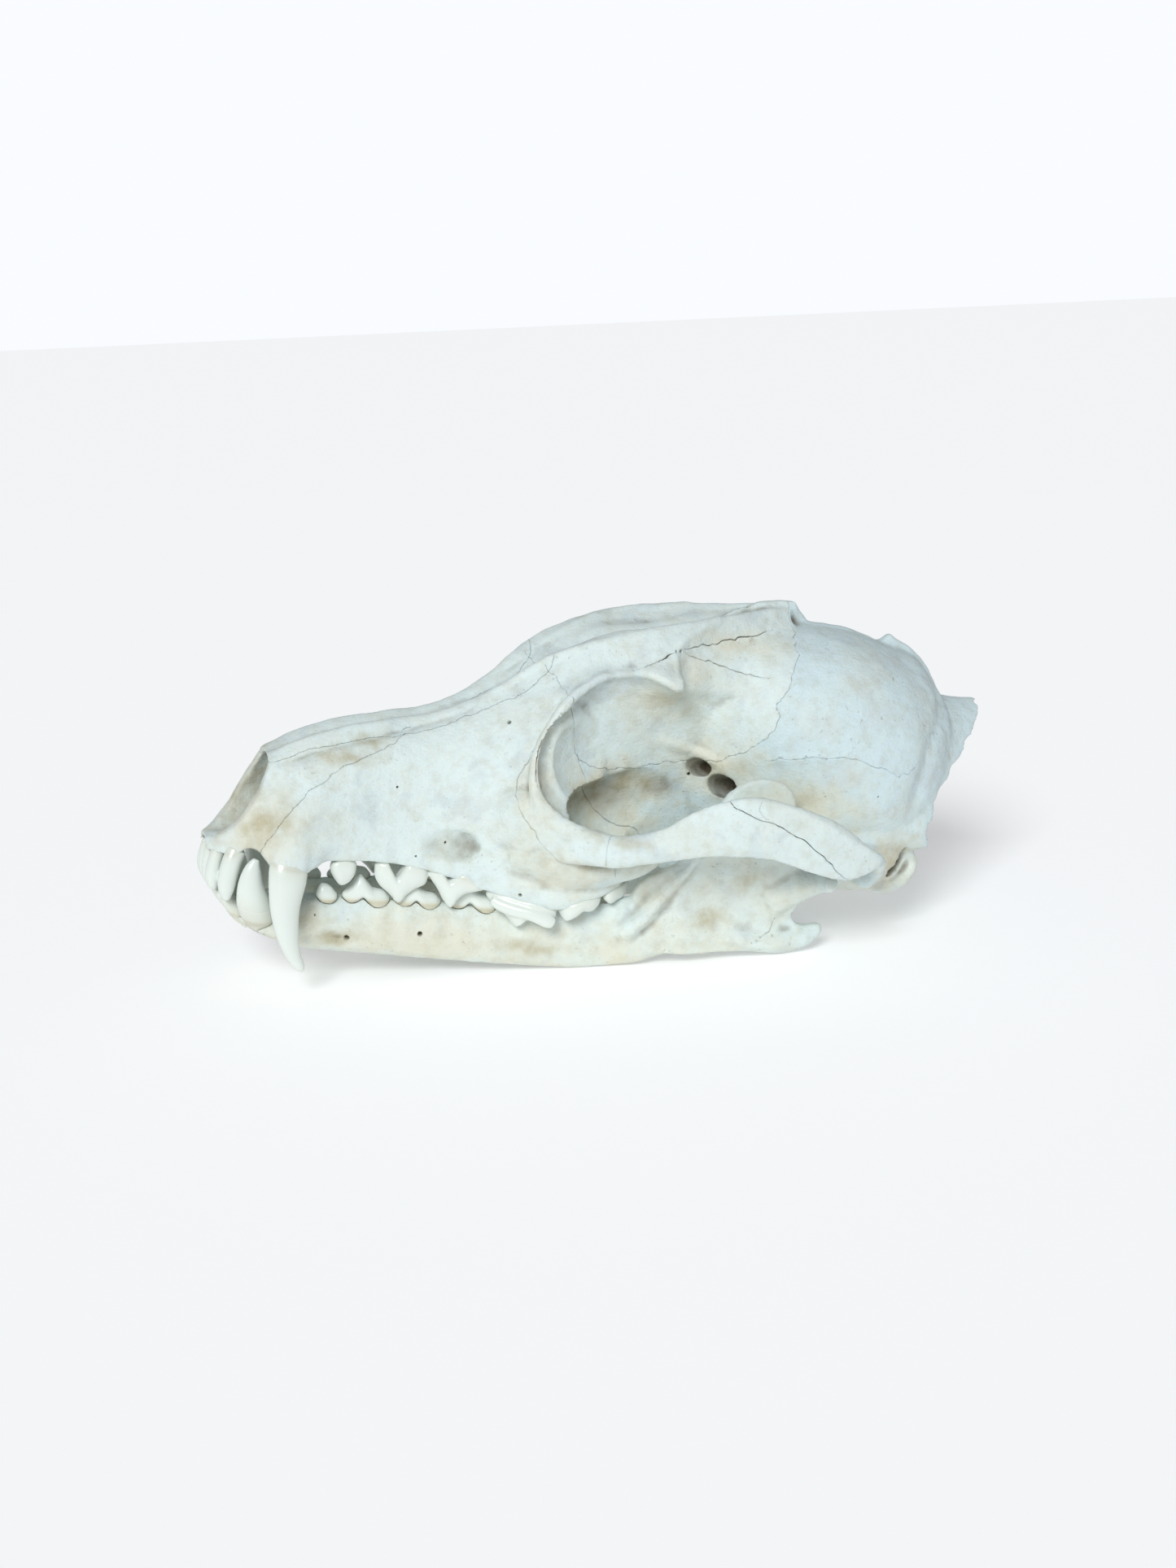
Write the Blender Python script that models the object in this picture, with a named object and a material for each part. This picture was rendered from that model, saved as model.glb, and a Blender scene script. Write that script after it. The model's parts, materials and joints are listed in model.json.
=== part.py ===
"""A red fox's skull with its lower jaw closed, at life size, resting on the jaw.

The skull is laid out in millimetres: x runs back from the front teeth, y to the animal's right,
and z up from the plane of the upper tooth sockets. Each bone is a node of its own, parted from its
neighbours along the real sutures, with its teeth fused to it. At the end everything is turned to
the way a skull lies on its jaw, scaled to metres and stood on z = 0.
"""

import math

import bmesh
import bpy
import numpy as np
from mathutils import Matrix, Vector

MM = 0.001
SEAM = 0.3
VOXEL = 0.55
JAW_VOXEL = 0.5
SKULL_TRIANGLES = 5000
JAW_TRIANGLES = 1200

# Each size along the muzzle is a curve through (x, value) pairs.
MUZZLE_START, MUZZLE_END = 0.9, 77.6
MUZZLE_TOP = (
    (0.9, 8.0), (4, 13.0), (8, 17.4), (11, 19.3), (22, 23.7), (37, 27.0), (43, 29.2), (50, 33.3),
    (56, 37.0), (62, 40.4), (67, 38.0), (72, 28.0), (77.6, 12.0),
)
MUZZLE_SOCKET_Z = (
    (0.9, 1.4), (5.2, 1.3), (8.3, 3.6), (11.2, 0.9), (17.6, 0.0), (21, 1.9), (30, 1.8), (40, 0.7),
    (50, -2.2), (61, -4.2), (70, -2.0), (77.6, 0.6),
)
MUZZLE_SOCKET_W = (
    (0.9, 3.4), (2.5, 5.6), (5.5, 8.0), (8.3, 9.3), (12, 11.6), (15, 12.5), (19, 12.0), (24, 10.9),
    (32, 11.0), (40, 12.5), (50, 15.4), (58, 18.8), (65, 20.7), (70, 19.8), (74, 17.6),
    (77.6, 12.6),
)
MUZZLE_SIDE_W = (
    (0.9, 2.6), (4, 6.2), (8, 8.9), (13, 11.2), (18, 11.5), (26, 10.8), (36, 11.2), (45, 13.2),
    (52, 16.2), (58, 19.6), (64, 18.6), (70, 14.5), (77.6, 8.6),
)
MUZZLE_SHOULDER_W = (
    (0.9, 2.2), (5, 5.4), (10, 7.2), (16, 8.3), (30, 8.9), (40, 9.6), (50, 12.2), (58, 15.6),
    (64, 13.6), (70, 10.0), (77.6, 7.0),
)
MUZZLE_NASAL_W = (
    (0.9, 1.6), (5, 3.8), (11, 5.3), (20, 5.6), (40, 5.4), (52, 6.6), (62, 9.0), (70, 7.0),
    (77.6, 5.0),
)
PALATE_Z = ((0.9, 3.4), (10, 3.6), (25, 3.6), (45, 2.4), (60, 1.6), (77.6, 1.8))

# The block between the eyes, from the back of the nasal bones to the braincase.
BROW_START, BROW_END = 50.0, 101.0
BROW_TOP = ((50, 32.2), (62, 39.6), (72, 43.9), (80, 45.4), (90, 47.8), (101, 48.8))
BROW_CREST_W = ((50, 4.5), (62, 6.5), (72, 9.5), (79, 12.0), (84, 11.2), (90, 8.6), (101, 4.0))
BROW_CREST_Z = (
    (50, 32.8), (62, 41.4), (68, 44.4), (73, 45.6), (79, 45.6), (84, 46.2), (90, 47.4), (101, 48.8),
)
BROW_RIM_W = (
    (50, 9.0), (58, 13.5), (66, 15.0), (73, 15.2), (79, 16.8), (84, 14.6), (89, 12.6), (101, 15.0),
)
BROW_RIM_Z = (
    (50, 24.6), (58, 32.2), (66, 38.0), (73, 39.2), (79, 37.4), (84, 37.0), (92, 37.0), (101, 36.0),
)
BROW_WALL_W = ((50, 9.5), (60, 11.6), (72, 12.0), (82, 10.8), (89, 11.0), (101, 15.5))
BROW_LOW_W = ((50, 8.5), (62, 8.6), (72, 8.6), (82, 7.2), (92, 7.0), (101, 8.5))
BROW_BASE_Z = ((50, 3.0), (66, 2.2), (76, 2.2), (90, 2.8), (101, 5.6))

# The braincase.
CASE_START, CASE_END = 84.0, 141.2
CASE_W = (
    (84, 8.6), (88, 10.6), (93, 14.0), (99, 18.2), (106, 21.6), (112, 23.2), (118, 23.7),
    (124, 22.9), (130, 20.2), (135, 16.0), (139, 10.5), (141.2, 3.0),
)
CASE_TOP = (
    (84, 43.0), (90, 45.4), (98, 46.6), (106, 46.9), (113, 47.0), (119, 46.5), (124, 45.5),
    (128, 44.3), (132, 42.4), (136, 38.9), (139, 34.6), (141.2, 28.6),
)
CASE_BASE = (
    (84, 14.0), (90, 9.0), (98, 7.2), (110, 6.2), (122, 5.8), (128, 7.4), (131, 10.4), (134, 15.0),
    (138, 21.0), (141.2, 25.0),
)
CASE_WIDEST_Z = ((84, 30.0), (95, 27.0), (106, 24.0), (120, 22.5), (132, 22.0), (141.2, 25.0))

# Stations of the cheek arch: x, y, z of its middle, half height, half thickness.
ARCH = (
    (58.0, 18.5, 5.8, 5.4, 4.0),
    (63.0, 23.0, 8.2, 3.4, 3.2),
    (69.0, 28.0, 9.0, 2.3, 2.3),
    (76.0, 31.3, 11.6, 3.0, 1.6),
    (82.0, 33.3, 14.4, 4.7, 1.4),
    (88.0, 34.9, 15.8, 5.4, 1.4),
    (95.0, 36.0, 15.6, 5.4, 1.4),
    (102.0, 36.3, 13.6, 5.4, 1.5),
    (109.0, 35.8, 11.4, 4.4, 1.6),
    (114.4, 34.2, 10.6, 2.9, 2.0),
    (118.0, 28.8, 11.2, 2.5, 3.0),
    (119.0, 20.0, 12.6, 3.2, 4.4),
)

# The front and lower edge of the eye socket: x, y, z, half thickness.
ORBIT_RIM = (
    (68.5, 15.2, 38.4, 1.0),
    (62.6, 16.4, 35.4, 1.3),
    (58.4, 17.8, 29.5, 1.5),
    (56.2, 19.4, 22.0, 1.7),
    (56.6, 21.6, 16.0, 1.8),
    (60.4, 24.0, 12.6, 1.8),
    (68.0, 27.8, 10.6, 1.7),
)
# The cheek below it: x, y, z, half height, half thickness.
CHEEK_FLARE = (
    (49.0, 13.0, 9.6, 3.4, 1.6),
    (53.0, 16.4, 11.2, 6.0, 2.4),
    (57.0, 19.6, 11.4, 7.0, 2.8),
    (62.0, 22.4, 9.4, 4.4, 2.6),
    (68.0, 26.6, 9.0, 2.6, 2.2),
)

# The rim of the back crest, on one side: x, y, z from the point on the midline down to the ear.
BACK_CREST = (
    (148.4, 0.0, 34.0),
    (147.7, 3.4, 32.0),
    (144.6, 7.4, 28.0),
    (140.4, 11.2, 24.2),
    (136.4, 14.6, 20.6),
    (133.5, 17.5, 17.2),
    (132.2, 20.2, 12.8),
)
BACK_CREST_ROOT = (
    (136.5, 0.0, 33.6),
    (135.8, 6.0, 31.8),
    (133.4, 11.0, 28.6),
    (130.5, 14.5, 25.0),
    (127.0, 18.0, 21.0),
    (124.5, 20.0, 17.0),
    (123.5, 20.4, 12.4),
)
CREST_HALF = 1.0
CREST_ROOT_SPREAD = 1.8
CREST_ROOT_Z = 44.5

# The top crest: x and z along its broken edge.
TOP_CREST = (
    (88.0, 46.6),
    (96.0, 49.6),
    (101.0, 50.6),
    (106.0, 51.2),
    (108.2, 51.0),
    (108.8, 49.6),
    (110.2, 48.6),
    (110.8, 47.4),
    (118.0, 47.1),
    (126.2, 45.4),
    (128.3, 46.6),
    (129.4, 44.8),
    (131.6, 44.0),
    (134.4, 41.9),
    (136.6, 39.8),
    (138.6, 37.0),
    (139.6, 34.8),
)

# The lower jaw: sizes along its body, as (x, value) pairs.
JAW_START, JAW_END = 5.2, 103.0
JAW_LOW = (
    (5.2, -9.0), (7, -10.4), (9, -11.6), (14, -13.9), (22.6, -15.9), (37, -16.3), (52, -16.7),
    (66, -16.3), (78, -14.4), (85, -11.9), (95, -10.9), (103, -10.2),
)
JAW_TOP = (
    (5.2, -8.0), (7, -7.6), (14, -7.2), (20, -6.2), (35, -6.2), (52, -6.4), (66, -4.8), (76, -2.2),
    (82, -1.6), (90, -3.0), (103, -5.0),
)
JAW_OUT = (
    (5.2, 4.4), (7, 6.6), (9, 8.4), (12, 9.6), (16, 9.5), (24, 9.1), (35, 10.3), (48, 12.4),
    (60, 15.0), (72, 17.6), (84, 19.9), (95, 21.3), (103, 22.0),
)
JAW_IN = (
    (5.2, 0.2), (20, 0.2), (27, 2.4), (36, 4.8), (48, 7.2), (60, 9.8), (72, 12.8), (84, 15.8),
    (95, 18.2), (103, 19.6),
)

# The upright blade behind the lower teeth, as (x, z) round its edge.
BLADE = (
    (77.5, -11.5),
    (78.6, -5.5),
    (81.4, 0.0),
    (84.0, 6.4),
    (86.6, 13.6),
    (89.8, 19.6),
    (93.2, 22.2),
    (97.6, 22.6),
    (101.4, 20.6),
    (103.0, 16.4),
    (103.6, 11.0),
    (106.0, 7.4),
    (109.2, 5.8),
    (110.8, 3.6),
    (109.2, 0.8),
    (107.0, -1.4),
    (105.9, -3.4),
    (106.8, -5.2),
    (109.2, -5.6),
    (111.4, -5.2),
    (112.4, -6.2),
    (111.4, -8.4),
    (108.6, -10.2),
    (104.6, -11.3),
    (96.0, -11.0),
    (86.0, -12.0),
)
BLADE_Y_FOOT, BLADE_Y_TIP = 19.4, 24.6
BLADE_HALF = 1.1

# Cheek teeth: front and back x, width, then cusps as (place along the crown, height).
UPPER_CHEEK = (
    (22.0, 26.6, 2.7, ((0.45, 3.4),)),
    (29.4, 39.2, 3.2, ((0.42, 6.2), (0.86, 2.8))),
    (40.0, 49.8, 3.6, ((0.42, 5.4), (0.86, 3.6))),
    (50.2, 62.6, 4.4, ((0.42, 5.2), (0.86, 4.0))),
    (62.9, 70.2, 4.2, ((0.26, 3.6), (0.76, 3.2))),
    (70.8, 75.6, 2.7, ((0.30, 2.3), (0.78, 1.7))),
)
LOWER_CHEEK = (
    (20.6, 24.0, 2.2, ((0.45, 3.2),)),
    (25.0, 33.2, 2.9, ((0.42, 4.8), (0.86, 2.0))),
    (34.2, 43.0, 3.1, ((0.42, 4.2), (0.86, 2.4))),
    (44.0, 53.4, 3.4, ((0.42, 4.6), (0.86, 3.0))),
    (54.4, 69.2, 4.6, ((0.12, 3.0), (0.36, 4.4), (0.80, 1.4))),
    (70.2, 76.0, 3.4, ((0.30, 0.6), (0.75, 0.4))),
    (77.0, 79.4, 2.6, ((0.5, 0.8),)),
)
UPPER_LEAN, LOWER_LEAN = 0.3, -0.5
ROOT_DEPTH = 1.8
# The inner lobes of the upper molars: x, y where they start and end, width, lowest z.
UPPER_LOBES = ((66.6, 17.6, 9.8, 5.4, -2.7), (73.2, 15.4, 10.4, 3.6, -0.8))
LOBE_TOP = 3.0

# Front teeth as stations x, y, z, radius from front to back, radius across.
UPPER_CANINE = (
    (17.0, -8.8, 5.0, 2.0, 1.4),
    (15.2, -10.6, 1.8, 3.1, 2.1),
    (14.3, -11.9, -1.5, 3.4, 2.3),
    (13.6, -12.5, -6.0, 2.9, 2.0),
    (14.2, -12.9, -10.5, 2.1, 1.5),
    (15.8, -13.2, -14.0, 1.3, 1.0),
    (17.6, -13.4, -16.6, 0.45, 0.4),
)
LOWER_CANINE = (
    (13.2, -7.2, -12.0, 2.4, 1.7),
    (10.8, -7.6, -8.6, 2.9, 2.1),
    (9.2, -8.2, -5.0, 2.7, 1.9),
    (8.4, -8.7, -1.4, 1.7, 1.3),
    (8.6, -9.0, 2.0, 0.5, 0.45),
)
# Incisors: x, y, z of the socket and of the tip, radius from front to back, radius across.
UPPER_INCISORS = (
    ((3.2, -1.7, 1.6), (1.3, -1.65, -3.5), 1.5, 1.4),
    ((4.2, -4.2, 1.6), (2.5, -4.6, -5.0), 1.65, 1.5),
    ((5.8, -6.7, 1.8), (4.6, -7.4, -6.0), 1.8, 1.5),
)
LOWER_INCISORS = (
    ((7.0, -1.35, -8.8), (3.9, -1.3, -4.9), 1.1, 0.95),
    ((7.4, -3.3, -8.8), (4.6, -3.4, -5.3), 1.15, 0.95),
    ((8.2, -5.2, -8.8), (5.8, -5.5, -5.9), 1.1, 0.9),
)

# The bones' colours, and the angle above which an edge stays sharp.
BONE_COLOURS = {
    "premaxilla": (0.76, 0.69, 0.58),
    "maxilla": (0.80, 0.76, 0.69),
    "nasal": (0.78, 0.73, 0.64),
    "frontal": (0.81, 0.78, 0.72),
    "braincase": (0.78, 0.78, 0.75),
    "jugal": (0.80, 0.76, 0.69),
    "temporal_process": (0.79, 0.77, 0.72),
    "mandible": (0.78, 0.71, 0.58),
}
BONE_ROUGHNESS = 0.55
SHARP_ANGLE = 60

# Where the bones part, as lines in x and z seen from the side.
NOSE_SEAM = (
    (6.0, 15.6), (11.0, 18.2), (22.0, 21.8), (37.0, 24.9), (43.0, 26.9), (50.0, 30.4), (56.0, 34.4),
    (59.4, 38.4), (60.0, 46.0),
)
PREMAXILLA_SEAM = (
    (9.6, -4.0), (9.8, 4.0), (12.6, 9.0), (17.0, 14.0), (24.0, 18.8), (30.0, 21.6), (36.0, 25.2),
)
FRONTAL_SEAM = (
    (58.4, 38.2), (60.6, 35.0), (63.0, 28.0), (65.0, 22.0), (72.0, 20.0), (84.0, 21.5),
    (94.0, 24.0), (99.0, 29.0), (100.0, 34.0), (103.0, 40.0), (106.0, 46.0), (106.6, 56.0),
)
PALATE_SEAM = ((65.0, 22.2), (68.0, 14.0), (74.0, 9.5), (79.6, 7.0), (80.2, -5.0))
CHEEK_SEAM = ((88.6, 25.0), (93.6, 20.0), (98.0, 16.2), (104.0, 11.6), (108.0, 8.2), (111.6, 3.0))

# A point on each bone, by which it is told from its neighbours.
ANCHORS = {
    "premaxilla_left": (4.0, -8.0, 5.0),
    "maxilla_left": (30.0, -11.0, 8.0),
    "nasal_left": (30.0, -3.0, 26.0),
    "frontal_left": (75.0, -9.0, 44.0),
    "braincase": (115.0, 0.0, 47.0),
    "jugal_left": (80.0, -34.0, 12.0),
    "temporal_process_left": (102.0, -37.5, 16.0),
}

# The points that the jaw rests on.
REST_FRONT = (66.0, -16.3)
REST_BACK = (104.6, -11.3)


def curve_at(pairs, x):
    """Value at x of the smooth curve through (x, value) pairs that never overshoots them."""
    xs, ys = np.array(pairs, float).T
    x = np.clip(x, xs[0], xs[-1])
    step = np.diff(xs)
    slope = np.diff(ys) / step
    lean = np.zeros(len(xs))
    lean[0], lean[-1] = slope[0], slope[-1]
    same = slope[:-1] * slope[1:] > 0
    lean[1:-1][same] = 2 * slope[:-1][same] * slope[1:][same] / (slope[:-1] + slope[1:])[same]
    i = np.clip(np.searchsorted(xs, x, side="right") - 1, 0, len(step) - 1)
    t = (x - xs[i]) / step[i]
    rise = ys[i] * (1 + 2 * t) * (1 - t) ** 2 + ys[i + 1] * t * t * (3 - 2 * t)
    return rise + step[i] * (lean[i] * t * (1 - t) ** 2 - lean[i + 1] * t * t * (1 - t))


def smooth_path(points, steps, closed=False):
    """Catmull-Rom curve through points, with a number of steps between each two."""
    points = np.array(points, float)
    if closed:
        padded = np.concatenate([points[-1:], points, points[:2]])
        spans = len(points)
    else:
        padded = np.concatenate([2 * points[:1] - points[1:2], points, 2 * points[-1:] - points[-2:-1]])
        spans = len(points) - 1
    t = np.linspace(0, 1, steps, endpoint=False)[:, None]
    out = []
    for i in range(spans):
        a, b, c, d = padded[i : i + 4]
        bend, twist = 2 * a - 5 * b + 4 * c - d, 3 * b - a - 3 * c + d
        out.append(0.5 * (2 * b + (c - a) * t + bend * t**2 + twist * t**3))
    if not closed:
        out.append(padded[-2][None])
    return np.concatenate(out)


def empty_scene():
    for thing in list(bpy.data.objects):
        bpy.data.objects.remove(thing, do_unlink=True)
    for mesh in list(bpy.data.meshes):
        bpy.data.meshes.remove(mesh)


def object_from(name, shape):
    """An object in the scene from a bmesh, which is freed."""
    bmesh.ops.recalc_face_normals(shape, faces=shape.faces)
    mesh = bpy.data.meshes.new(name)
    shape.to_mesh(mesh)
    shape.free()
    thing = bpy.data.objects.new(name, mesh)
    bpy.context.scene.collection.objects.link(thing)
    return thing


def skin(name, rings):
    """A closed skin through rings of points: a grid rolled up, its seam welded, its ends filled."""
    rings = np.array(rings, float)
    rows, around = rings.shape[:2]
    shape = bmesh.new()
    bmesh.ops.create_grid(shape, x_segments=around, y_segments=rows - 1, size=1.0)
    places = np.concatenate([rings, rings[:, :1]], axis=1).reshape(-1, 3)
    for vert, place in zip(shape.verts, places):
        vert.co = place
    bmesh.ops.remove_doubles(shape, verts=shape.verts, dist=1e-4)
    rim = [edge for edge in shape.edges if edge.is_boundary]
    if rim:
        bmesh.ops.holes_fill(shape, edges=rim, sides=0)
    bmesh.ops.triangulate(shape, faces=[face for face in shape.faces if len(face.verts) > 4])
    return object_from(name, shape)


def mirrored_ring(x, half, steps):
    """A closed ring at x through half-outline points (y, z), from the bottom middle to the top."""
    half = list(half)
    other = [(-y, z) for y, z in half[-2:0:-1]]
    path = smooth_path([(y, z) for y, z in half + other], steps, closed=True)
    return np.column_stack([np.full(len(path), x), path])


def sweep(name, stations, guide, around, steps, power=1.0):
    """A rounded bar through stations (x, y, z, size along the guide, size across it)."""
    path = smooth_path(stations, steps)
    middle, along, across = path[:, :3], path[:, 3], path[:, 4]
    ahead = np.gradient(middle, axis=0)
    ahead /= np.linalg.norm(ahead, axis=1)[:, None]
    guide = np.array(guide, float)
    first = guide - ahead * (ahead @ guide)[:, None]
    first /= np.linalg.norm(first, axis=1)[:, None]
    second = np.cross(ahead, first)
    turn = np.linspace(0, 2 * math.pi, around, endpoint=False)
    cos = np.sign(np.cos(turn)) * np.abs(np.cos(turn)) ** power
    sin = np.sign(np.sin(turn)) * np.abs(np.sin(turn)) ** power
    rings = (
        middle[:, None]
        + first[:, None] * (along[:, None] * cos)[..., None]
        + second[:, None] * (across[:, None] * sin)[..., None]
    )
    return skin(name, rings)


def ball(name, middle, radii, turns=(0.0, 0.0, 0.0), detail=4):
    shape = bmesh.new()
    bmesh.ops.create_icosphere(shape, subdivisions=detail, radius=1.0)
    turn = Matrix.Identity(4)
    for angle, axis in zip(turns, "XYZ"):
        turn = Matrix.Rotation(math.radians(angle), 4, axis) @ turn
    place = Matrix.Translation(middle) @ turn @ Matrix.Diagonal((*radii, 1.0))
    bmesh.ops.transform(shape, matrix=place, verts=shape.verts)
    return object_from(name, shape)


def plate(name, outline, thick_of, place_of):
    """A flat-sided body from a closed outline: place_of gives each side's points from (u, v, side)."""
    shape = bmesh.new()
    base = [shape.verts.new((u, v, 0.0)) for u, v in outline]
    shape.faces.new(base).normal_update()
    flat = bmesh.ops.triangulate(shape, faces=shape.faces)["faces"]
    made = bmesh.ops.extrude_face_region(shape, geom=flat, use_keep_orig=True)
    lifted = {v for v in made["geom"] if isinstance(v, bmesh.types.BMVert)}
    for vert in shape.verts:
        side = 1.0 if vert in lifted else -1.0
        u, v = vert.co.x, vert.co.y
        vert.co = place_of(u, v, side * thick_of(u, v))
    return object_from(name, shape)


def apply_modifiers(thing):
    graph = bpy.context.evaluated_depsgraph_get()
    made = bpy.data.meshes.new_from_object(thing.evaluated_get(graph))
    old = thing.data
    thing.modifiers.clear()
    thing.data = made
    bpy.data.meshes.remove(old)
    return thing


def boolean(thing, others, operation, solver="EXACT"):
    """Cuts others from a thing or unites them with it, and removes the others."""
    group = bpy.data.collections.new("cutters")
    bpy.context.scene.collection.children.link(group)
    for other in others:
        group.objects.link(other)
        other.hide_render = True
        other.display_type = "WIRE"
    step = thing.modifiers.new("boolean", "BOOLEAN")
    step.operation = operation
    step.solver = solver
    step.operand_type = "COLLECTION"
    step.collection = group
    apply_modifiers(thing)
    for other in others:
        bpy.data.objects.remove(other, do_unlink=True)
    bpy.data.collections.remove(group)
    return thing


def joined(name, things):
    """One object that holds all the things' shells, which may pass through each other."""
    shape = bmesh.new()
    for thing in things:
        shape.from_mesh(thing.data)
        bpy.data.objects.remove(thing, do_unlink=True)
    mesh = bpy.data.meshes.new(name)
    shape.to_mesh(mesh)
    shape.free()
    whole = bpy.data.objects.new(name, mesh)
    bpy.context.scene.collection.objects.link(whole)
    return whole


def fused(thing, voxel, rounds):
    """Melts the shells of a thing into one smooth skin."""
    step = thing.modifiers.new("melt", "REMESH")
    step.mode = "VOXEL"
    step.voxel_size = voxel
    step.adaptivity = 0.0
    soften = thing.modifiers.new("soften", "SMOOTH")
    soften.factor = 0.5
    soften.iterations = rounds
    return apply_modifiers(thing)


def thinned(thing, triangles):
    shape = bmesh.new()
    shape.from_mesh(thing.data)
    bmesh.ops.triangulate(shape, faces=shape.faces)
    shape.to_mesh(thing.data)
    shape.free()
    step = thing.modifiers.new("thin", "DECIMATE")
    step.ratio = min(1.0, triangles / len(thing.data.polygons))
    step.use_collapse_triangulate = True
    return apply_modifiers(thing)


def mirror_copy(thing, name):
    """A copy on the animal's other side."""
    copy = thing.copy()
    copy.name = name
    copy.data = thing.data.copy()
    bpy.context.scene.collection.objects.link(copy)
    copy.data.transform(Matrix.Diagonal((1.0, -1.0, 1.0, 1.0)))
    copy.data.flip_normals()
    return copy


def both_sides(thing):
    return [thing, mirror_copy(thing, thing.name + "_far")]


def muzzle():
    rings = []
    for x in np.linspace(MUZZLE_START, MUZZLE_END, 47):
        top = curve_at(MUZZLE_TOP, x)
        socket = curve_at(MUZZLE_SOCKET_Z, x)
        floor = curve_at(PALATE_Z, x)
        rim = curve_at(MUZZLE_SOCKET_W, x)
        tall = top - socket
        half = (
            (0.0, floor),
            (0.55 * rim, floor - 0.25),
            (0.82 * rim, socket + 0.5),
            (rim, socket + 0.6),
            (curve_at(MUZZLE_SIDE_W, x), socket + 0.40 * tall),
            (curve_at(MUZZLE_SHOULDER_W, x), socket + 0.76 * tall),
            (curve_at(MUZZLE_NASAL_W, x), socket + 0.955 * tall),
            (0.45 * curve_at(MUZZLE_NASAL_W, x), top + 0.35),
            (0.0, top),
        )
        rings.append(mirrored_ring(x, half, 4))
    return skin("muzzle", rings)


def brow():
    rings = []
    for x in np.linspace(BROW_START, BROW_END, 35):
        base = curve_at(BROW_BASE_Z, x)
        low = curve_at(BROW_LOW_W, x)
        rim_z = curve_at(BROW_RIM_Z, x)
        wall = curve_at(BROW_WALL_W, x)
        half = (
            (0.0, base),
            (0.8 * low, base),
            (low, base + 3.0),
            (0.5 * (low + wall), 0.5 * (base + 3.0 + rim_z - 9.0)),
            (wall, rim_z - 8.0),
            (0.5 * wall + 0.5 * curve_at(BROW_RIM_W, x), rim_z - 3.2),
            (curve_at(BROW_RIM_W, x), rim_z),
            (curve_at(BROW_CREST_W, x), curve_at(BROW_CREST_Z, x)),
            (0.5 * curve_at(BROW_CREST_W, x), 0.5 * (curve_at(BROW_CREST_Z, x) + curve_at(BROW_TOP, x))),
            (0.0, curve_at(BROW_TOP, x)),
        )
        rings.append(mirrored_ring(x, half, 4))
    return skin("brow", rings)


def braincase():
    rings = []
    turn = np.linspace(0, 2 * math.pi, 64, endpoint=False)
    for x in np.linspace(CASE_START, CASE_END, 44):
        wide, top = curve_at(CASE_W, x), curve_at(CASE_TOP, x)
        base, middle = curve_at(CASE_BASE, x), curve_at(CASE_WIDEST_Z, x)
        cos, sin = np.cos(turn), np.sin(turn)
        power = np.where(sin > 0, 2 / 2.15, 2 / 3.0)
        y = wide * np.sign(cos) * np.abs(cos) ** power
        lift = np.sign(sin) * np.abs(sin) ** power
        z = middle + lift * np.where(sin > 0, top - middle, middle - base)
        rings.append(np.column_stack([np.full(len(turn), x), y, z]))
    return skin("braincase", rings)


def side_wall(outline, name, reach=60.0):
    """A cutter right through the skull from side to side, from an outline in x and z."""
    return plate(name, outline, lambda u, v: reach, lambda u, v, side: Vector((u, side, v)))


def nose_cutters():
    front = (
        (-6.0, 3.3),
        (1.6, 3.3),
        (3.6, 5.0),
        (6.0, 8.0),
        (8.0, 11.8),
        (9.6, 15.4),
        (10.7, 18.2),
        (10.2, 20.0),
        (9.8, 26.0),
        (-6.0, 26.0),
    )
    passage = (
        (-4.0, 0.0, 10.6, 8.0, 5.6),
        (8.0, 0.0, 11.0, 6.4, 5.2),
        (14.0, 0.0, 12.4, 6.8, 5.4),
        (24.0, 0.0, 14.0, 6.8, 5.4),
        (34.0, 0.0, 15.0, 4.6, 3.8),
        (38.0, 0.0, 15.4, 1.4, 1.2),
    )
    return [side_wall(front, "nose_front", 20.0), sweep("nose_passage", passage, (0, 0, 1), 20, 4)]


def orbit_cutter():
    return ball("orbit", (71.5, -25.5, 24.5), (16.2, 14.6, 13.8))


def canal_cutter():
    stations = (
        (34.0, -12.9, 4.9, 1.2, 0.6),
        (42.0, -13.4, 5.3, 3.0, 1.7),
        (50.0, -13.6, 5.8, 3.3, 2.0),
        (62.0, -13.2, 7.6, 3.0, 2.2),
    )
    return sweep("canal", stations, (0, 0, 1), 16, 4)


def throat_cutter():
    stations = (
        (78.5, 0.0, 2.0, 5.6, 4.6),
        (90.0, 0.0, 2.6, 6.0, 4.6),
        (108.0, 0.0, 2.0, 5.6, 5.6),
    )
    return sweep("throat", stations, (0, 0, 1), 20, 6, power=0.7)


def cranium():
    face = muzzle()
    cutters = nose_cutters() + both_sides(orbit_cutter()) + both_sides(canal_cutter())
    boolean(face, cutters, "DIFFERENCE")
    centre = brow()
    boolean(centre, both_sides(orbit_cutter()) + [throat_cutter()], "DIFFERENCE")
    pieces = [face, centre, braincase()]
    pieces += both_sides(sweep("arch", [(x, -y, z, h, t) for x, y, z, h, t in ARCH], (0, 0, 1), 16, 4))
    pieces += both_sides(brow_horn())
    pieces += both_sides(ball("bulla", (119.8, -14.0, 6.9), (10.8, 8.4, 7.4), (0, -4, 12)))
    pieces += both_sides(canine_root())
    pieces += both_sides(back_crest())
    pieces += both_sides(ball("condyle", (131.6, -7.6, 12.2), (4.4, 4.8, 5.4), (0, 20, 20)))
    pieces += both_sides(ear_base())
    pieces += both_sides(neck_process())
    pieces += both_sides(orbit_rim())
    pieces += both_sides(glenoid())
    pieces += both_sides(hook_plate())
    pieces.append(top_crest())
    whole = fused(joined("cranium", pieces), VOXEL, 4)
    for hole in both_sides(ear_hole()) + [spine_hole()]:
        boolean(whole, [hole], "DIFFERENCE", "MANIFOLD")
    return whole


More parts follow.
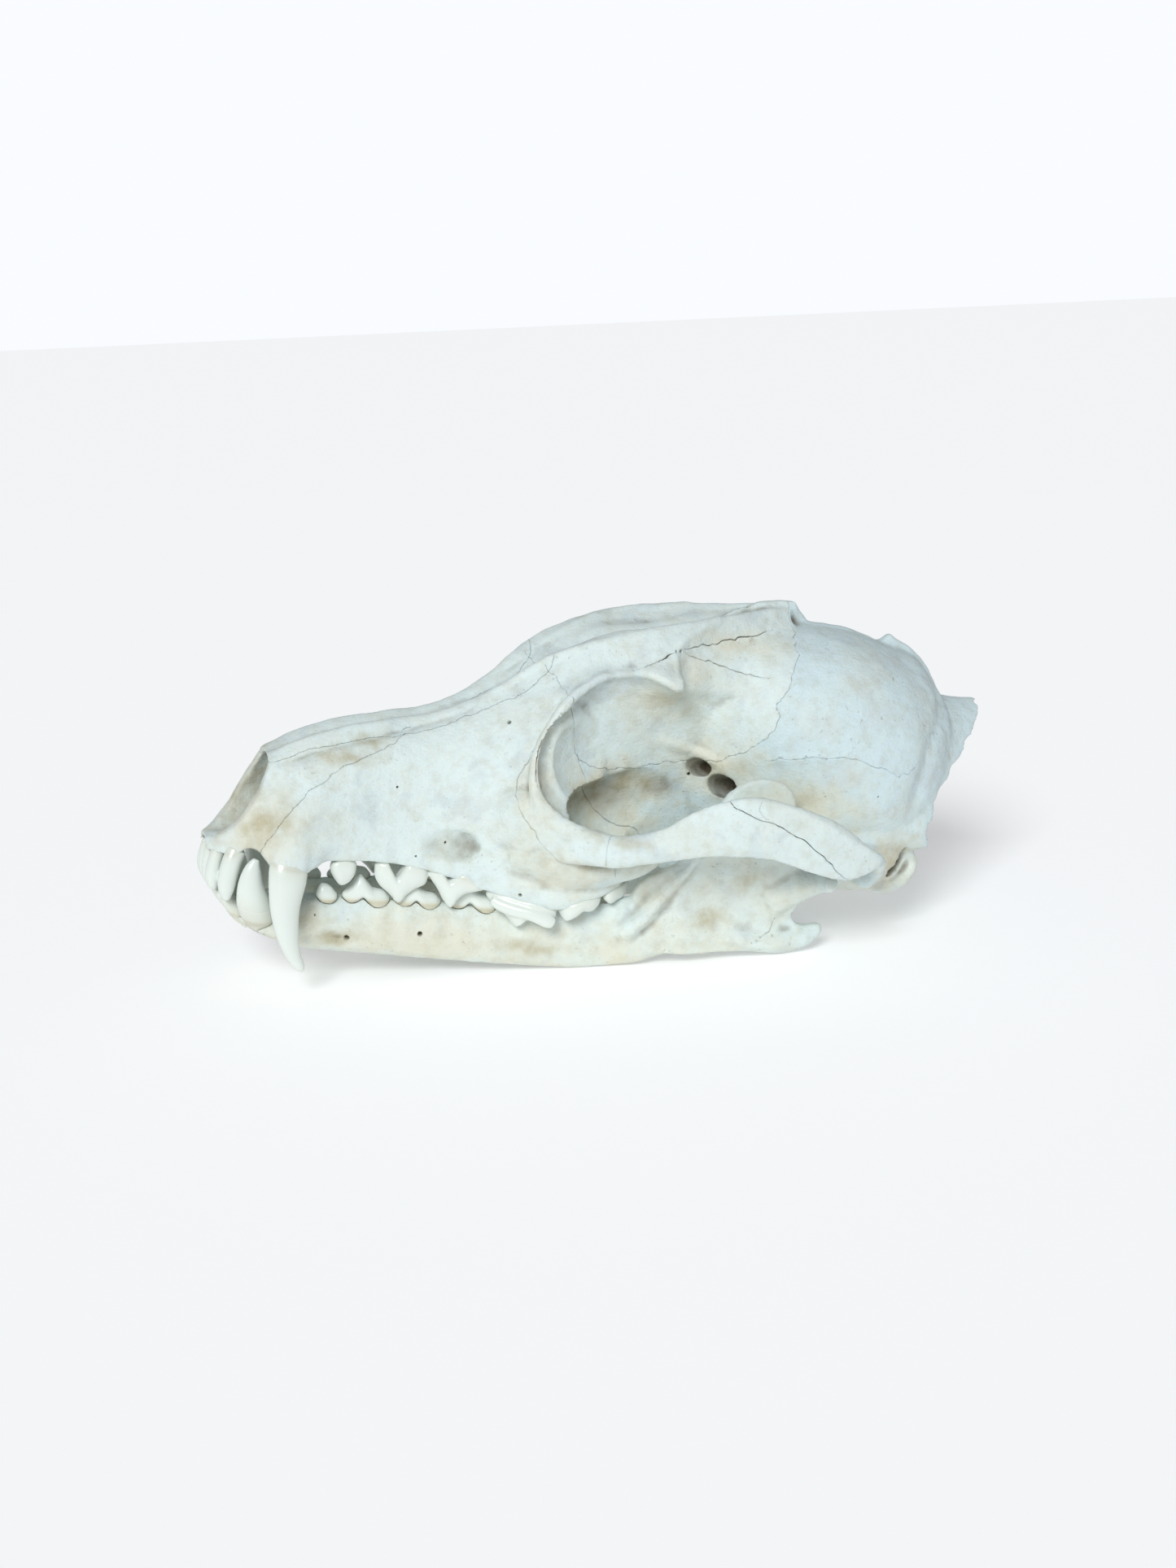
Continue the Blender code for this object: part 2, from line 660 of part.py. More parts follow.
def brow_horn():
    """The process behind the eye socket."""
    stations = (
        (74.0, -10.0, 39.0, 3.0, 5.0),
        (77.4, -13.6, 38.8, 2.4, 4.0),
        (79.4, -16.2, 37.8, 1.6, 2.6),
        (80.6, -18.4, 36.4, 0.9, 1.2),
    )
    return sweep("brow_horn", stations, (0, 0, 1), 14, 4)


def orbit_rim():
    """The raised front and lower edge of the eye socket, and the cheek that flares out to it."""
    rings = []
    for x, y, z, half in ORBIT_RIM:
        rings.append((x, -y + 0.6 * half, z - 0.3 * half, half, half))
    rim = sweep("orbit_rim", rings, (1, 0, 0), 12, 4)
    flare = [(x, -y, z, tall, half) for x, y, z, tall, half in CHEEK_FLARE]
    return joined("orbit_rim", [rim, sweep("cheek_flare", flare, (0, 0, 1), 14, 4)])


def canine_root():
    """The bulge that the root of the upper canine makes in the cheek."""
    stations = (
        (14.2, -10.4, 0.6, 3.4, 2.2),
        (15.4, -9.9, 4.6, 3.3, 2.2),
        (18.6, -9.2, 9.4, 2.9, 2.0),
        (23.0, -8.4, 13.4, 1.8, 1.4),
    )
    return sweep("canine_root", stations, (1, 0, 0), 14, 4)


def back_crest():
    """One side of the crest over the back of the skull, a flange that thins towards its rim."""
    rim = smooth_path(BACK_CREST, 4)
    root = smooth_path(BACK_CREST_ROOT, 4)
    out = (rim - root) / np.linalg.norm(rim - root, axis=1)[:, None]
    along = np.gradient(rim, axis=0)
    normal = np.cross(out, along)
    normal /= np.linalg.norm(normal, axis=1)[:, None]
    rings = []
    for start, end, side in zip(root, rim, normal):
        ring = []
        for reach, half in ((0.0, 2.4), (0.45, 1.3), (0.85, 0.9), (1.0, 0.35)):
            ring.append(start + (end - start) * reach + side * half)
        for reach, half in ((1.0, 0.35), (0.85, 0.9), (0.45, 1.3), (0.0, 2.4)):
            ring.append(start + (end - start) * reach - side * half)
        rings.append(ring)
    rings = np.array(rings)
    rings[:, :, 1] = -rings[:, :, 1]
    rings[0, :, 1] = 0.6
    return skin("back_crest", rings)


def top_crest():
    outline = list(TOP_CREST) + [(133.0, 36.0), (100.0, 40.0), (88.0, 42.0)]
    return plate(
        "top_crest",
        outline,
        lambda u, v: CREST_HALF if v > CREST_ROOT_Z else CREST_ROOT_SPREAD,
        lambda u, v, side: Vector((u, side, v)),
    )


def ear_base():
    """The bone round the ear hole and behind it."""
    stations = (
        (113.0, -21.0, 12.4, 3.2, 2.8),
        (119.0, -20.0, 11.2, 3.8, 2.8),
        (126.0, -19.4, 10.6, 4.0, 2.4),
        (131.2, -19.2, 10.4, 2.8, 1.6),
    )
    return sweep("ear_base", stations, (0, 0, 1), 14, 4)


def neck_process():
    """The small process behind the ear capsule."""
    stations = (
        (128.4, -15.4, 11.0, 2.6, 3.0),
        (128.8, -15.8, 6.0, 2.0, 2.2),
        (129.0, -16.2, 2.8, 1.1, 1.2),
    )
    return sweep("neck_process", stations, (1, 0, 0), 10, 3)


def ear_hole():
    stations = (
        (124.2, -25.0, 8.4, 2.7, 2.3),
        (123.8, -19.5, 8.6, 2.5, 2.1),
        (122.6, -15.5, 8.4, 1.6, 1.4),
    )
    return sweep("ear_hole", stations, (1, 0, 0), 10, 1)


def spine_hole():
    """The hole for the spine in the back of the skull, between the two condyles."""
    return ball("spine_hole", (138.5, 0.0, 17.4), (9.0, 6.8, 6.0), detail=2)


def glenoid():
    """The roof of the jaw joint and the lip behind it."""
    return ball("glenoid", (115.8, -25.6, 7.8), (1.9, 6.0, 3.2), (0, -14, 4), 3)


def hook_plate():
    """The hook behind the palate."""
    stations = (
        (84.0, -6.4, 4.0, 4.0, 0.9),
        (94.0, -6.2, 4.4, 4.0, 0.9),
        (99.0, -6.4, 3.4, 2.6, 0.9),
        (103.6, -7.0, 1.2, 1.0, 0.7),
    )
    return sweep("hook_plate", stations, (0, 0, 1), 10, 4)


def jaw():
    rings = []
    for x in np.linspace(JAW_START, JAW_END, 50):
        low, top = curve_at(JAW_LOW, x), curve_at(JAW_TOP, x)
        outer, inner = curve_at(JAW_OUT, x), curve_at(JAW_IN, x)
        tall, wide = top - low, outer - inner
        loop = (
            (inner + 0.50 * wide, low),
            (inner + 0.86 * wide, low + 0.14 * tall),
            (outer, low + 0.45 * tall),
            (inner + 0.90 * wide, low + 0.82 * tall),
            (inner + 0.70 * wide, top),
            (inner + 0.34 * wide, top),
            (inner + 0.06 * wide, low + 0.80 * tall),
            (inner, low + 0.50 * tall),
            (inner + 0.14 * wide, low + 0.16 * tall),
        )
        path = smooth_path(loop, 4, closed=True)
        rings.append(np.column_stack([np.full(len(path), x), -path[:, 0], path[:, 1]]))
    body = skin("jaw_body", rings)

    def blade_place(u, v, side):
        lean = np.clip((v + 6.0) / 28.0, 0.0, 1.2)
        y = BLADE_Y_FOOT + (BLADE_Y_TIP - BLADE_Y_FOOT) * lean + 0.04 * (u - 92.0)
        return Vector((u, -(y + side), v))

    outline = smooth_path(BLADE, 2, closed=True)
    blade = plate("blade", outline, lambda u, v: BLADE_HALF, blade_place)
    ridge = (
        (76.5, -18.8, -8.6, 1.8, 1.6),
        (79.6, -19.4, -4.6, 1.7, 1.6),
        (82.4, -20.4, 1.0, 1.6, 1.5),
        (85.4, -21.8, 8.0, 1.4, 1.4),
        (88.4, -23.2, 15.0, 1.1, 1.2),
        (91.6, -24.2, 20.4, 0.8, 1.0),
    )
    knuckle = (
        (109.0, -19.6, 3.6, 1.7, 1.7),
        (109.8, -22.5, 3.9, 2.3, 2.1),
        (110.2, -27.0, 3.6, 2.4, 2.2),
        (109.6, -31.0, 3.2, 1.4, 1.4),
    )
    neck = (
        (101.0, -21.4, -1.0, 3.0, 1.5),
        (106.0, -22.6, 2.0, 2.8, 1.7),
        (110.0, -23.6, 3.6, 2.2, 2.0),
    )
    hook = (
        (96.0, -20.6, -8.6, 1.8, 1.5),
        (103.0, -21.2, -8.8, 2.0, 1.7),
        (108.4, -21.2, -8.0, 1.9, 1.4),
        (111.6, -21.0, -6.9, 1.0, 0.9),
    )
    bars = [
        sweep("ridge", ridge, (1, 0, 0), 12, 4),
        sweep("knuckle", knuckle, (0, 0, 1), 14, 4),
        sweep("neck", neck, (0, 0, 1), 12, 4),
        sweep("hook", hook, (0, 0, 1), 12, 4),
    ]
    whole = joined("mandible_left", [body, blade] + bars)
    return fused(whole, JAW_VOXEL, 3)


def crown(name, ends, side_y, neck, width, cusps, point, lean):
    """A cheek tooth: rings at its ends, cusps and valleys, each with a root, a belly and an edge."""
    x0, x1 = ends
    peaks = [place for place, _ in cusps]
    valleys = [(a + b) / 2 for a, b in zip(peaks, peaks[1:])]
    rings = []
    for s in sorted([0.0, 0.12, 1.0] + peaks + valleys):
        x = x0 + (x1 - x0) * s
        round_off = max(0.0, 1 - abs(2 * s - 1) ** 2.6) ** 0.5
        wide = 0.5 * width * max(0.34, round_off)
        tall = 0.42 * max(height for _, height in cusps) * max(0.6, round_off)
        for place, height in cusps:
            tall = max(tall, height * (1 - (abs(s - place) / 0.42) ** 1.5))
        y, z = side_y(x), neck(x)
        half = ((0.8, -ROOT_DEPTH), (1.0, 0.36 * tall), (0.15, tall))
        ring = [(x, y - wide * w + lean * h / 5.0, z + point * h) for w, h in half]
        ring += [(x, y + wide * w + lean * h / 5.0, z + point * h) for w, h in half[::-1]]
        rings.append(ring)
    return skin(name, rings)


def upper_row(x):
    return -curve_at(MUZZLE_SOCKET_W, x) + 0.3


def upper_neck(x):
    return curve_at(MUZZLE_SOCKET_Z, x) + 0.5


def lower_row(x):
    return -curve_at(JAW_OUT, x) + 0.8


def lower_neck(x):
    return curve_at(JAW_TOP, x) - 0.2


def cheek_teeth(rows, row, neck, point, lean):
    teeth = []
    for number, (x0, x1, width, cusps) in enumerate(rows, 1):
        def side_y(x, width=width):
            return row(x) + width / 2

        teeth.append(crown(f"cheek_{number}", (x0, x1), side_y, neck, width, cusps, point, lean))
    return teeth


def molar_lobes():
    """The broad inner parts of the upper molars."""
    lobes = []
    for x, outer, inner, width, lowest in UPPER_LOBES:
        z, tall = (LOBE_TOP + lowest) / 2, (LOBE_TOP - lowest) / 2
        stations = (
            (x, -outer, z, tall, width / 2),
            (x, -0.6 * outer - 0.4 * inner, z, 0.94 * tall, 0.48 * width),
            (x, -0.2 * outer - 0.8 * inner, z, 0.9 * tall, 0.42 * width),
            (x, -inner, z, 0.6 * tall, 0.26 * width),
        )
        lobes.append(sweep("lobe", stations, (0, 0, 1), 8, 1))
    return lobes


def incisor(name, socket, tip, deep, across):
    socket, tip = np.array(socket), np.array(tip)
    root = socket + 0.3 * (socket - tip)
    stations = [
        (*root, 0.8 * deep, 0.8 * across),
        (*socket, deep, across),
        (*(0.5 * socket + 0.5 * tip), 0.95 * deep, 1.04 * across),
        (*(0.15 * socket + 0.85 * tip), 0.55 * deep, 0.95 * across),
        (*tip, 0.22 * deep, 0.7 * across),
    ]
    return sweep(name, stations, (1, 0, 0), 6, 1)


def incisors(rows):
    return [incisor(f"incisor_{i}", *row) for i, row in enumerate(rows, 1)]


def curtain(name, line, near, far):
    """A thin sheet along a line in x and z, from one y to another, with its gap's thickness."""
    line = np.array(line, float)
    ahead = np.gradient(line, axis=0)
    ahead /= np.linalg.norm(ahead, axis=1)[:, None]
    off = np.column_stack([-ahead[:, 1], ahead[:, 0]]) * SEAM / 2
    outline = list(line + off) + list((line - off)[::-1])
    middle, reach = (near + far) / 2, abs(far - near) / 2
    return plate(name, outline, lambda u, v: reach, lambda u, v, side: Vector((u, middle + side, v)))


def middle_sheet():
    """The sheet between the left and right bones of the face, which stops short of the braincase."""
    back = list(FRONTAL_SEAM[3:]) + [(-8.0, 56.0), (-8.0, -8.0), (80.2, -8.0)] + list(PALATE_SEAM[::-1][:-1])
    return side_wall(back, "middle_sheet", SEAM / 2)


def arch_gate(name, x, y, direction):
    """A thin wall across the cheek arch."""
    shape = bmesh.new()
    bmesh.ops.create_cube(shape, size=1.0)
    place = Matrix.Translation((x, -y, 10.0)) @ Matrix.Rotation(math.radians(direction), 4, "Z")
    bmesh.ops.transform(shape, matrix=place @ Matrix.Diagonal((SEAM, 11.0, 24.0, 1.0)), verts=shape.verts)
    return object_from(name, shape)


def part_bones(skull):
    """Cuts the cranium along its seams, and keeps the largest piece at each anchor."""
    cutters = [
        middle_sheet(),
        curtain("nose_seam", NOSE_SEAM, -30.0, 30.0),
        curtain("premaxilla_seam", PREMAXILLA_SEAM, -30.0, 30.0),
        curtain("frontal_seam", FRONTAL_SEAM, -30.0, 30.0),
        curtain("palate_seam", PALATE_SEAM, -20.5, 20.5),
    ]
    for sign in (-1, 1):
        cutters.append(curtain("cheek_seam", CHEEK_SEAM, 28.0 * sign, 44.0 * sign))
        cutters.append(arch_gate("front_gate", 67.4, -27.0 * sign, 35.0 * sign))
        cutters.append(arch_gate("back_gate", 115.0, -31.4 * sign, -48.0 * sign))
    for cutter in cutters:
        boolean(skull, [cutter], "DIFFERENCE", "MANIFOLD")
    keep_anchored(skull)


def loose_parts(thing):
    """The closed surfaces of a thing, each as an object."""
    before = set(bpy.data.objects)
    bpy.context.view_layer.objects.active = thing
    for other in bpy.data.objects:
        other.select_set(other == thing)
    bpy.ops.object.mode_set(mode="EDIT")
    bpy.ops.mesh.select_all(action="SELECT")
    bpy.ops.mesh.separate(type="LOOSE")
    bpy.ops.object.mode_set(mode="OBJECT")
    return [thing] + [other for other in bpy.data.objects if other not in before]


def keep_anchored(skull):
    """Names the piece at each bone's anchor, and drops the crumbs that the cuts leave."""
    pieces = loose_parts(skull)
    kept = {}
    for name, anchor in ANCHORS.items():
        def away(piece, anchor=anchor):
            points = np.array([vert.co for vert in piece.data.vertices])
            return np.linalg.norm(points - anchor, axis=1).min()

        kept[name] = min(pieces, key=away)
    for piece in pieces:
        if piece not in kept.values():
            bpy.data.objects.remove(piece, do_unlink=True)
    for name, piece in kept.items():
        piece.name = name


def largest_only(thing):
    """Drops all but the largest closed surface of a thing."""
    name = thing.name
    pieces = sorted(loose_parts(thing), key=lambda piece: len(piece.data.polygons))
    best = pieces.pop()
    for piece in pieces:
        bpy.data.objects.remove(piece, do_unlink=True)
    best.name = name
    return best


def finish(thing):
    """Gives a bone its colour and smooth shading, with edges kept at the tooth tips and seams."""
    family = thing.name.rsplit("_", 1)[0] if thing.name.endswith(("_left", "_right")) else thing.name
    material = bpy.data.materials.new(thing.name + "_bone")
    material.use_nodes = True
    surface = material.node_tree.nodes["Principled BSDF"]
    surface.inputs["Base Color"].default_value = (*BONE_COLOURS[family], 1.0)
    surface.inputs["Roughness"].default_value = BONE_ROUGHNESS
    surface.inputs["Metallic"].default_value = 0.0
    thing.data.materials.clear()
    thing.data.materials.append(material)
    thing.data.shade_smooth()
    thing.data.set_sharp_from_angle(angle=math.radians(SHARP_ANGLE))


def main():
    empty_scene()
    skull = cranium()
    thinned(skull, SKULL_TRIANGLES)
    part_bones(skull)
    boolean(bpy.data.objects["premaxilla_left"], incisors(UPPER_INCISORS), "UNION")
    upper = cheek_teeth(UPPER_CHEEK, upper_row, upper_neck, -1, UPPER_LEAN) + molar_lobes()
    upper.append(sweep("canine", UPPER_CANINE, (1, 0, 0), 8, 1))
    boolean(bpy.data.objects["maxilla_left"], upper, "UNION")
    left = jaw()
    thinned(left, JAW_TRIANGLES)
    lower = cheek_teeth(LOWER_CHEEK, lower_row, lower_neck, 1, -LOWER_LEAN) + incisors(LOWER_INCISORS)
    lower.append(sweep("canine", LOWER_CANINE, (1, 0, 0), 8, 1))
    boolean(left, lower, "UNION")
    for name in [thing.name for thing in bpy.data.objects if thing.name.endswith("_left")]:
        best = largest_only(bpy.data.objects[name])
        mirror_copy(best, name.replace("_left", "_right"))
    for thing in bpy.data.objects:
        finish(thing)
    place_all()


def place_all():
    """Turns the skull to the way it lies on its jaw, and stands it on z = 0 in metres."""
    rise = REST_BACK[1] - REST_FRONT[1]
    pitch = math.atan2(rise, REST_BACK[0] - REST_FRONT[0])
    turn = Matrix.Rotation(pitch, 4, "Y")
    things = [thing for thing in bpy.data.objects if thing.type == "MESH"]
    for thing in things:
        thing.data.transform(turn)
    points = np.concatenate([[tuple(v.co) for v in thing.data.vertices] for thing in things])
    low, high = points.min(axis=0), points.max(axis=0)
    middle = (low + high) / 2
    shift = Matrix.Translation((-middle[0], -middle[1], -low[2]))
    for thing in things:
        thing.data.transform(Matrix.Diagonal((MM, MM, MM, 1.0)) @ shift)


if __name__ == "__main__":
    main()
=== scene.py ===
"""The looks of a red fox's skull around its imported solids: fine bones parted along wavy sutures,
teeth with their own enamel, cracks, pores and stains, a pale floor, soft light and the camera.

The bones are laid out in millimetres, as the solids were: x runs back from the front teeth, y to
the animal's right, and z up from the plane of the upper tooth sockets. At the end each piece is
turned to the way the skull lies on its jaw and scaled to metres.
"""

import json
import math

import bmesh
import bpy
import numpy as np
from mathutils import Matrix, Vector
from mathutils.bvhtree import BVHTree

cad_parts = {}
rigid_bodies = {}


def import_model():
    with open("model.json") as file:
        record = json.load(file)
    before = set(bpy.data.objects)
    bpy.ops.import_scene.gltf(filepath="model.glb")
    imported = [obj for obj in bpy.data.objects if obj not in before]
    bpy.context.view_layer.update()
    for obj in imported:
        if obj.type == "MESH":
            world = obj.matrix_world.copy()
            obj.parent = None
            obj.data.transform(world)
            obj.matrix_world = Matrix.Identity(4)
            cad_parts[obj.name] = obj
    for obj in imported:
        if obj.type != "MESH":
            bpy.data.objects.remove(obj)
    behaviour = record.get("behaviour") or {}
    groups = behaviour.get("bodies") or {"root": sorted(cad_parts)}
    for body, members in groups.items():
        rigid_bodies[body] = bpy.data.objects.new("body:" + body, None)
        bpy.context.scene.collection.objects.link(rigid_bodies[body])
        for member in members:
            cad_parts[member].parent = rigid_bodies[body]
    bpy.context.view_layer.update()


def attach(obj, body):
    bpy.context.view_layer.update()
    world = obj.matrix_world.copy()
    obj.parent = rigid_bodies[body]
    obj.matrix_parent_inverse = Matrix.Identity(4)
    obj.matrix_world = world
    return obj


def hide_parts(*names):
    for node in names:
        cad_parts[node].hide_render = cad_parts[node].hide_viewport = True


bl_info = {
    "name": "Fox skull",
    "version": (1, 0, 0),
    "blender": (4, 5, 0),
    "location": "3D View > Sidebar > Skull",
    "description": "Builds a fox skull's bones, teeth and stage around its solids",
    "category": "Object",
}

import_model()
MM = 0.001

# How the skull lies: the turn about y, in radians, and the shift that centres it, in millimetres.
LIE_TURN = 0.128816
LIE_SHIFT = (-75.877, 0, 24.739)

# Each size along the muzzle is a curve through (x, value) pairs.
MUZZLE_START, MUZZLE_END = 0.9, 77.6
MUZZLE_TOP = (
    (0.9, 8), (4, 13), (8, 17.4), (11, 19.3), (22, 23.7), (37, 27), (43, 29.2), (50, 33.3), (56, 37),
    (62, 40.4), (67, 38), (72, 28), (77.6, 12),
)
MUZZLE_SOCKET_Z = (
    (0.9, 1.4), (5.2, 1.3), (8.3, 3.6), (11.2, 0.9), (17.6, 0), (21, 1.9), (30, 1.8), (40, 0.7),
    (50, -1.9), (61, -3.3), (66, -2.1), (70, -1), (77.6, 1.2),
)
MUZZLE_SOCKET_W = (
    (0.9, 3.4), (2.5, 5.6), (5.5, 8), (8.3, 9.3), (12, 11.6), (15, 12.5), (19, 12), (24, 10.9), (32, 11),
    (40, 12.5), (50, 15.4), (58, 18.8), (65, 20.7), (70, 19.8), (74, 17.6), (77.6, 12.6),
)
MUZZLE_SIDE_W = (
    (0.9, 2.6), (4, 6.2), (8, 8.9), (13, 11.2), (18, 11.5), (26, 10.8), (36, 11.2), (45, 13.2),
    (52, 16.2), (58, 19.6), (64, 18.6), (70, 14.5), (77.6, 8.6),
)
MUZZLE_SHOULDER_W = (
    (0.9, 2.2), (5, 5.4), (10, 7.2), (16, 8.3), (30, 8.9), (40, 9.6), (50, 12.2), (58, 15.6), (64, 13.6),
    (70, 10), (77.6, 7),
)
MUZZLE_NASAL_W = (
    (0.9, 1.6), (5, 3.8), (11, 5.3), (20, 5.6), (40, 5.4), (52, 6.6), (62, 9), (70, 7), (77.6, 5),
)
PALATE_Z = ((0.9, 3.4), (10, 3.6), (25, 3.6), (45, 2.4), (60, 1.6), (77.6, 1.8))

# The block between the eyes, from the back of the nasal bones to the braincase.
BROW_START, BROW_END = 50.0, 107.0
BROW_TOP = ((50, 32.2), (62, 39.6), (72, 43.9), (80, 45.4), (90, 47.8), (101, 48.8), (107, 49.2))
BROW_CREST_W = ((50, 4.5), (62, 6.5), (72, 9.5), (79, 12), (84, 11.2), (90, 8.6), (101, 4), (107, 1.4))
BROW_CREST_Z = (
    (50, 32.8), (62, 41.4), (68, 44.4), (73, 45.6), (79, 45.6), (84, 46.2), (90, 47.4), (101, 48.8),
    (107, 49.4),
)
BROW_RIM_W = ((50, 9), (58, 13.5), (66, 15), (73, 15.2), (79, 16.8), (84, 14.6), (89, 12.6), (101, 15))
BROW_RIM_Z = ((50, 24.6), (58, 32.2), (66, 38), (73, 39.2), (79, 37.4), (84, 37), (92, 37), (101, 36))
BROW_WALL_W = ((50, 9.5), (60, 11.6), (72, 12), (82, 10.8), (89, 11), (101, 15.5))
BROW_LOW_W = ((50, 8.5), (62, 8.6), (72, 8.6), (82, 7.2), (92, 7), (101, 8.5))
BROW_BASE_Z = ((50, 3), (66, 2.2), (76, 2.2), (90, 2.8), (101, 5.6))

# The braincase.
CASE_START, CASE_END = 84.0, 141.2
CASE_W = (
    (84, 8.6), (88, 10.6), (93, 14), (99, 18.2), (106, 21.6), (112, 23.2), (118, 23.7), (124, 22.9),
    (130, 20.2), (135, 16), (139, 10.5), (141.2, 3),
)
CASE_TOP = (
    (84, 43), (90, 45.4), (98, 46.6), (106, 46.9), (113, 46.9), (119, 46.1), (124, 44.9), (128, 43.7),
    (132, 42.4), (136, 38.9), (139, 34.6), (141.2, 28.6),
)
CASE_BASE = (
    (84, 14), (90, 9), (98, 7.2), (110, 6.2), (122, 5.8), (128, 7.4), (131, 10.4), (134, 15), (138, 21),
    (141.2, 25),
)
CASE_WIDEST_Z = ((84, 30), (95, 27), (106, 24), (120, 22.5), (132, 22), (141.2, 25))

# The front and lower edge of the eye socket: x, y, z, half thickness.
ORBIT_RIM = (
    (68.5, 15.2, 38.4, 0.8), (62.6, 16.4, 35.4, 1), (57.6, 17.8, 29.5, 1.1), (54.8, 19.4, 22, 1.2),
    (55.8, 21.8, 15.8, 1.3), (60, 24.4, 12.5, 1.4), (68, 28.2, 11.2, 1.4),
)

# The rim of the back crest, on one side: x, y, z from the point on the midline down to the ear.
BACK_CREST = (
    (148.3, 0, 34), (147.6, 3.4, 32), (144.6, 7.4, 28), (140.4, 11.2, 24.2), (136.4, 14.6, 20.6),
    (133.5, 17.5, 17.2), (132.2, 20.2, 12.8),
)
BACK_CREST_ROOT = (
    (136.5, 0, 33.6), (135.8, 6, 31.8), (133.4, 11, 28.6), (130.5, 14.5, 25), (127, 18, 21),
    (124.5, 20, 17), (123.5, 20.4, 12.4),
)
CREST_HALF = 1.0
CREST_ROOT_SPREAD = 1.8
CREST_ROOT_Z = 44.5

# The top crest: x and z along its broken edge.
TOP_CREST = (
    (88, 46.6), (96, 49.6), (101, 50.5), (106, 51.1), (108.2, 50.9), (108.8, 49.6), (110.2, 48.6),
    (110.8, 47.4), (118, 46.9), (124, 45.2), (126.6, 44), (127.2, 45.2), (128.3, 46.1), (129.4, 45),
    (131.6, 44), (134.4, 41.9), (136.6, 39.8), (138.6, 37), (139.6, 34.8),
)

# The lower jaw: sizes along its body, as (x, value) pairs.
JAW_START, JAW_END = 5.2, 103.0
JAW_LOW = (
    (5.2, -9), (7, -10.4), (9, -11.6), (14, -13.9), (22.6, -15.9), (37, -16.3), (52, -16.7), (66, -16.3),
    (78, -14.4), (85, -11.9), (95, -10.9), (103, -10.2),
)
JAW_TOP = (
    (5.2, -8.6), (7, -9), (10, -9.6), (13, -9), (16, -6.8), (20, -5.5), (35, -5.4), (52, -5.7),
    (66, -4.6), (76, -2), (82, -1.6), (90, -3), (103, -5),
)
JAW_OUT = (
    (5.2, 4.4), (7, 6.6), (9, 8.4), (12, 9.6), (16, 9.5), (24, 9.1), (35, 10.3), (48, 12.4), (60, 15),
    (72, 17.6), (84, 19.9), (95, 21.3), (103, 22),
)
JAW_IN = (
    (5.2, 0.2), (20, 0.2), (27, 2.4), (36, 4.8), (48, 7.2), (60, 9.8), (72, 12.8), (84, 15.8), (95, 18.2),
    (103, 19.6),
)

# The upright blade behind the lower teeth, as (x, z) round its edge.
BLADE = (
    (76.4, -11), (75.6, -4.5), (75.6, -0.2), (78, 3), (82.6, 6), (86.4, 13.2), (89.8, 19.6), (93.2, 22.2),
    (97.6, 22.6), (101.4, 20.6), (103, 16.4), (103.6, 11), (106, 7.4), (109.2, 5.8), (110.8, 3.6),
    (109.2, 0.8), (107, -1.4), (105.9, -3.4), (106.8, -5.2), (109.2, -5.6), (111.4, -5.2), (112.4, -6.2),
    (111.4, -8.4), (108.6, -10.2), (104.6, -11.3), (96, -11), (86, -12),
)
BLADE_Y_FOOT, BLADE_Y_TIP = 19.4, 24.6
BLADE_HALF = 1.1

# Cheek teeth: width, how far the outer face lies in from the bone's side, and the crown's upper and lower
# edge seen from the side, as (x, z).
UPPER_CHEEK = (
    (
        3.4, 0.3, ((22.2, 1.8), (24.5, 2.4), (26.9, 2)),
        ((22.2, -0.4), (23.2, -1.7), (24.4, -2.7), (25.7, -2.2), (26.9, -0.9)),
    ),
    (
        3.6, 0,
        ((30.2, 2.4), (32.1, 2.2), (33.3, 0.3), (34.1, -0.9), (34.9, 0.3), (36, 2.2), (39.5, 1.6)),
        ((30.2, -1.6), (31.2, -2.7), (33, -3.9), (34.9, -5.6), (36.3, -3.9), (37.8, -2.8), (39.5, -2.4)),
    ),
    (
        3.8, 0, ((39.8, 1.6), (41.6, 1.4), (42.6, 0), (43.2, -0.6), (43.9, 0), (45.2, 1.2), (49.4, -0.4)),
        ((39.8, -0.8), (41.4, -2.6), (42.8, -4.8), (43.9, -5.8), (45, -4.2), (46.4, -2.9), (49.4, -2.3)),
    ),
    (
        4.8, 0.2, ((50, -1.2), (55, -2.2), (61.8, -3.2)),
        (
            (50, -3.6), (52, -5), (53.8, -6.6), (55.4, -8.1), (57.2, -6.6), (58.9, -6.5), (61, -7.6),
            (61.8, -6.6),
        ),
    ),
    (
        4.4, 0, ((62.1, -2.6), (66, -1.6), (69.8, -1)),
        ((62.1, -4.8), (63.4, -6.1), (65, -5.3), (66.4, -4.2), (67.8, -4.3), (69.8, -3.2)),
    ),
    (
        3.2, 0, ((70.2, -0.6), (73, 0.4), (76.6, 0.8)),
        ((70.2, -2.2), (71.9, -3), (73.4, -2.5), (75, -2.3), (76.6, -1.2)),
    ),
)
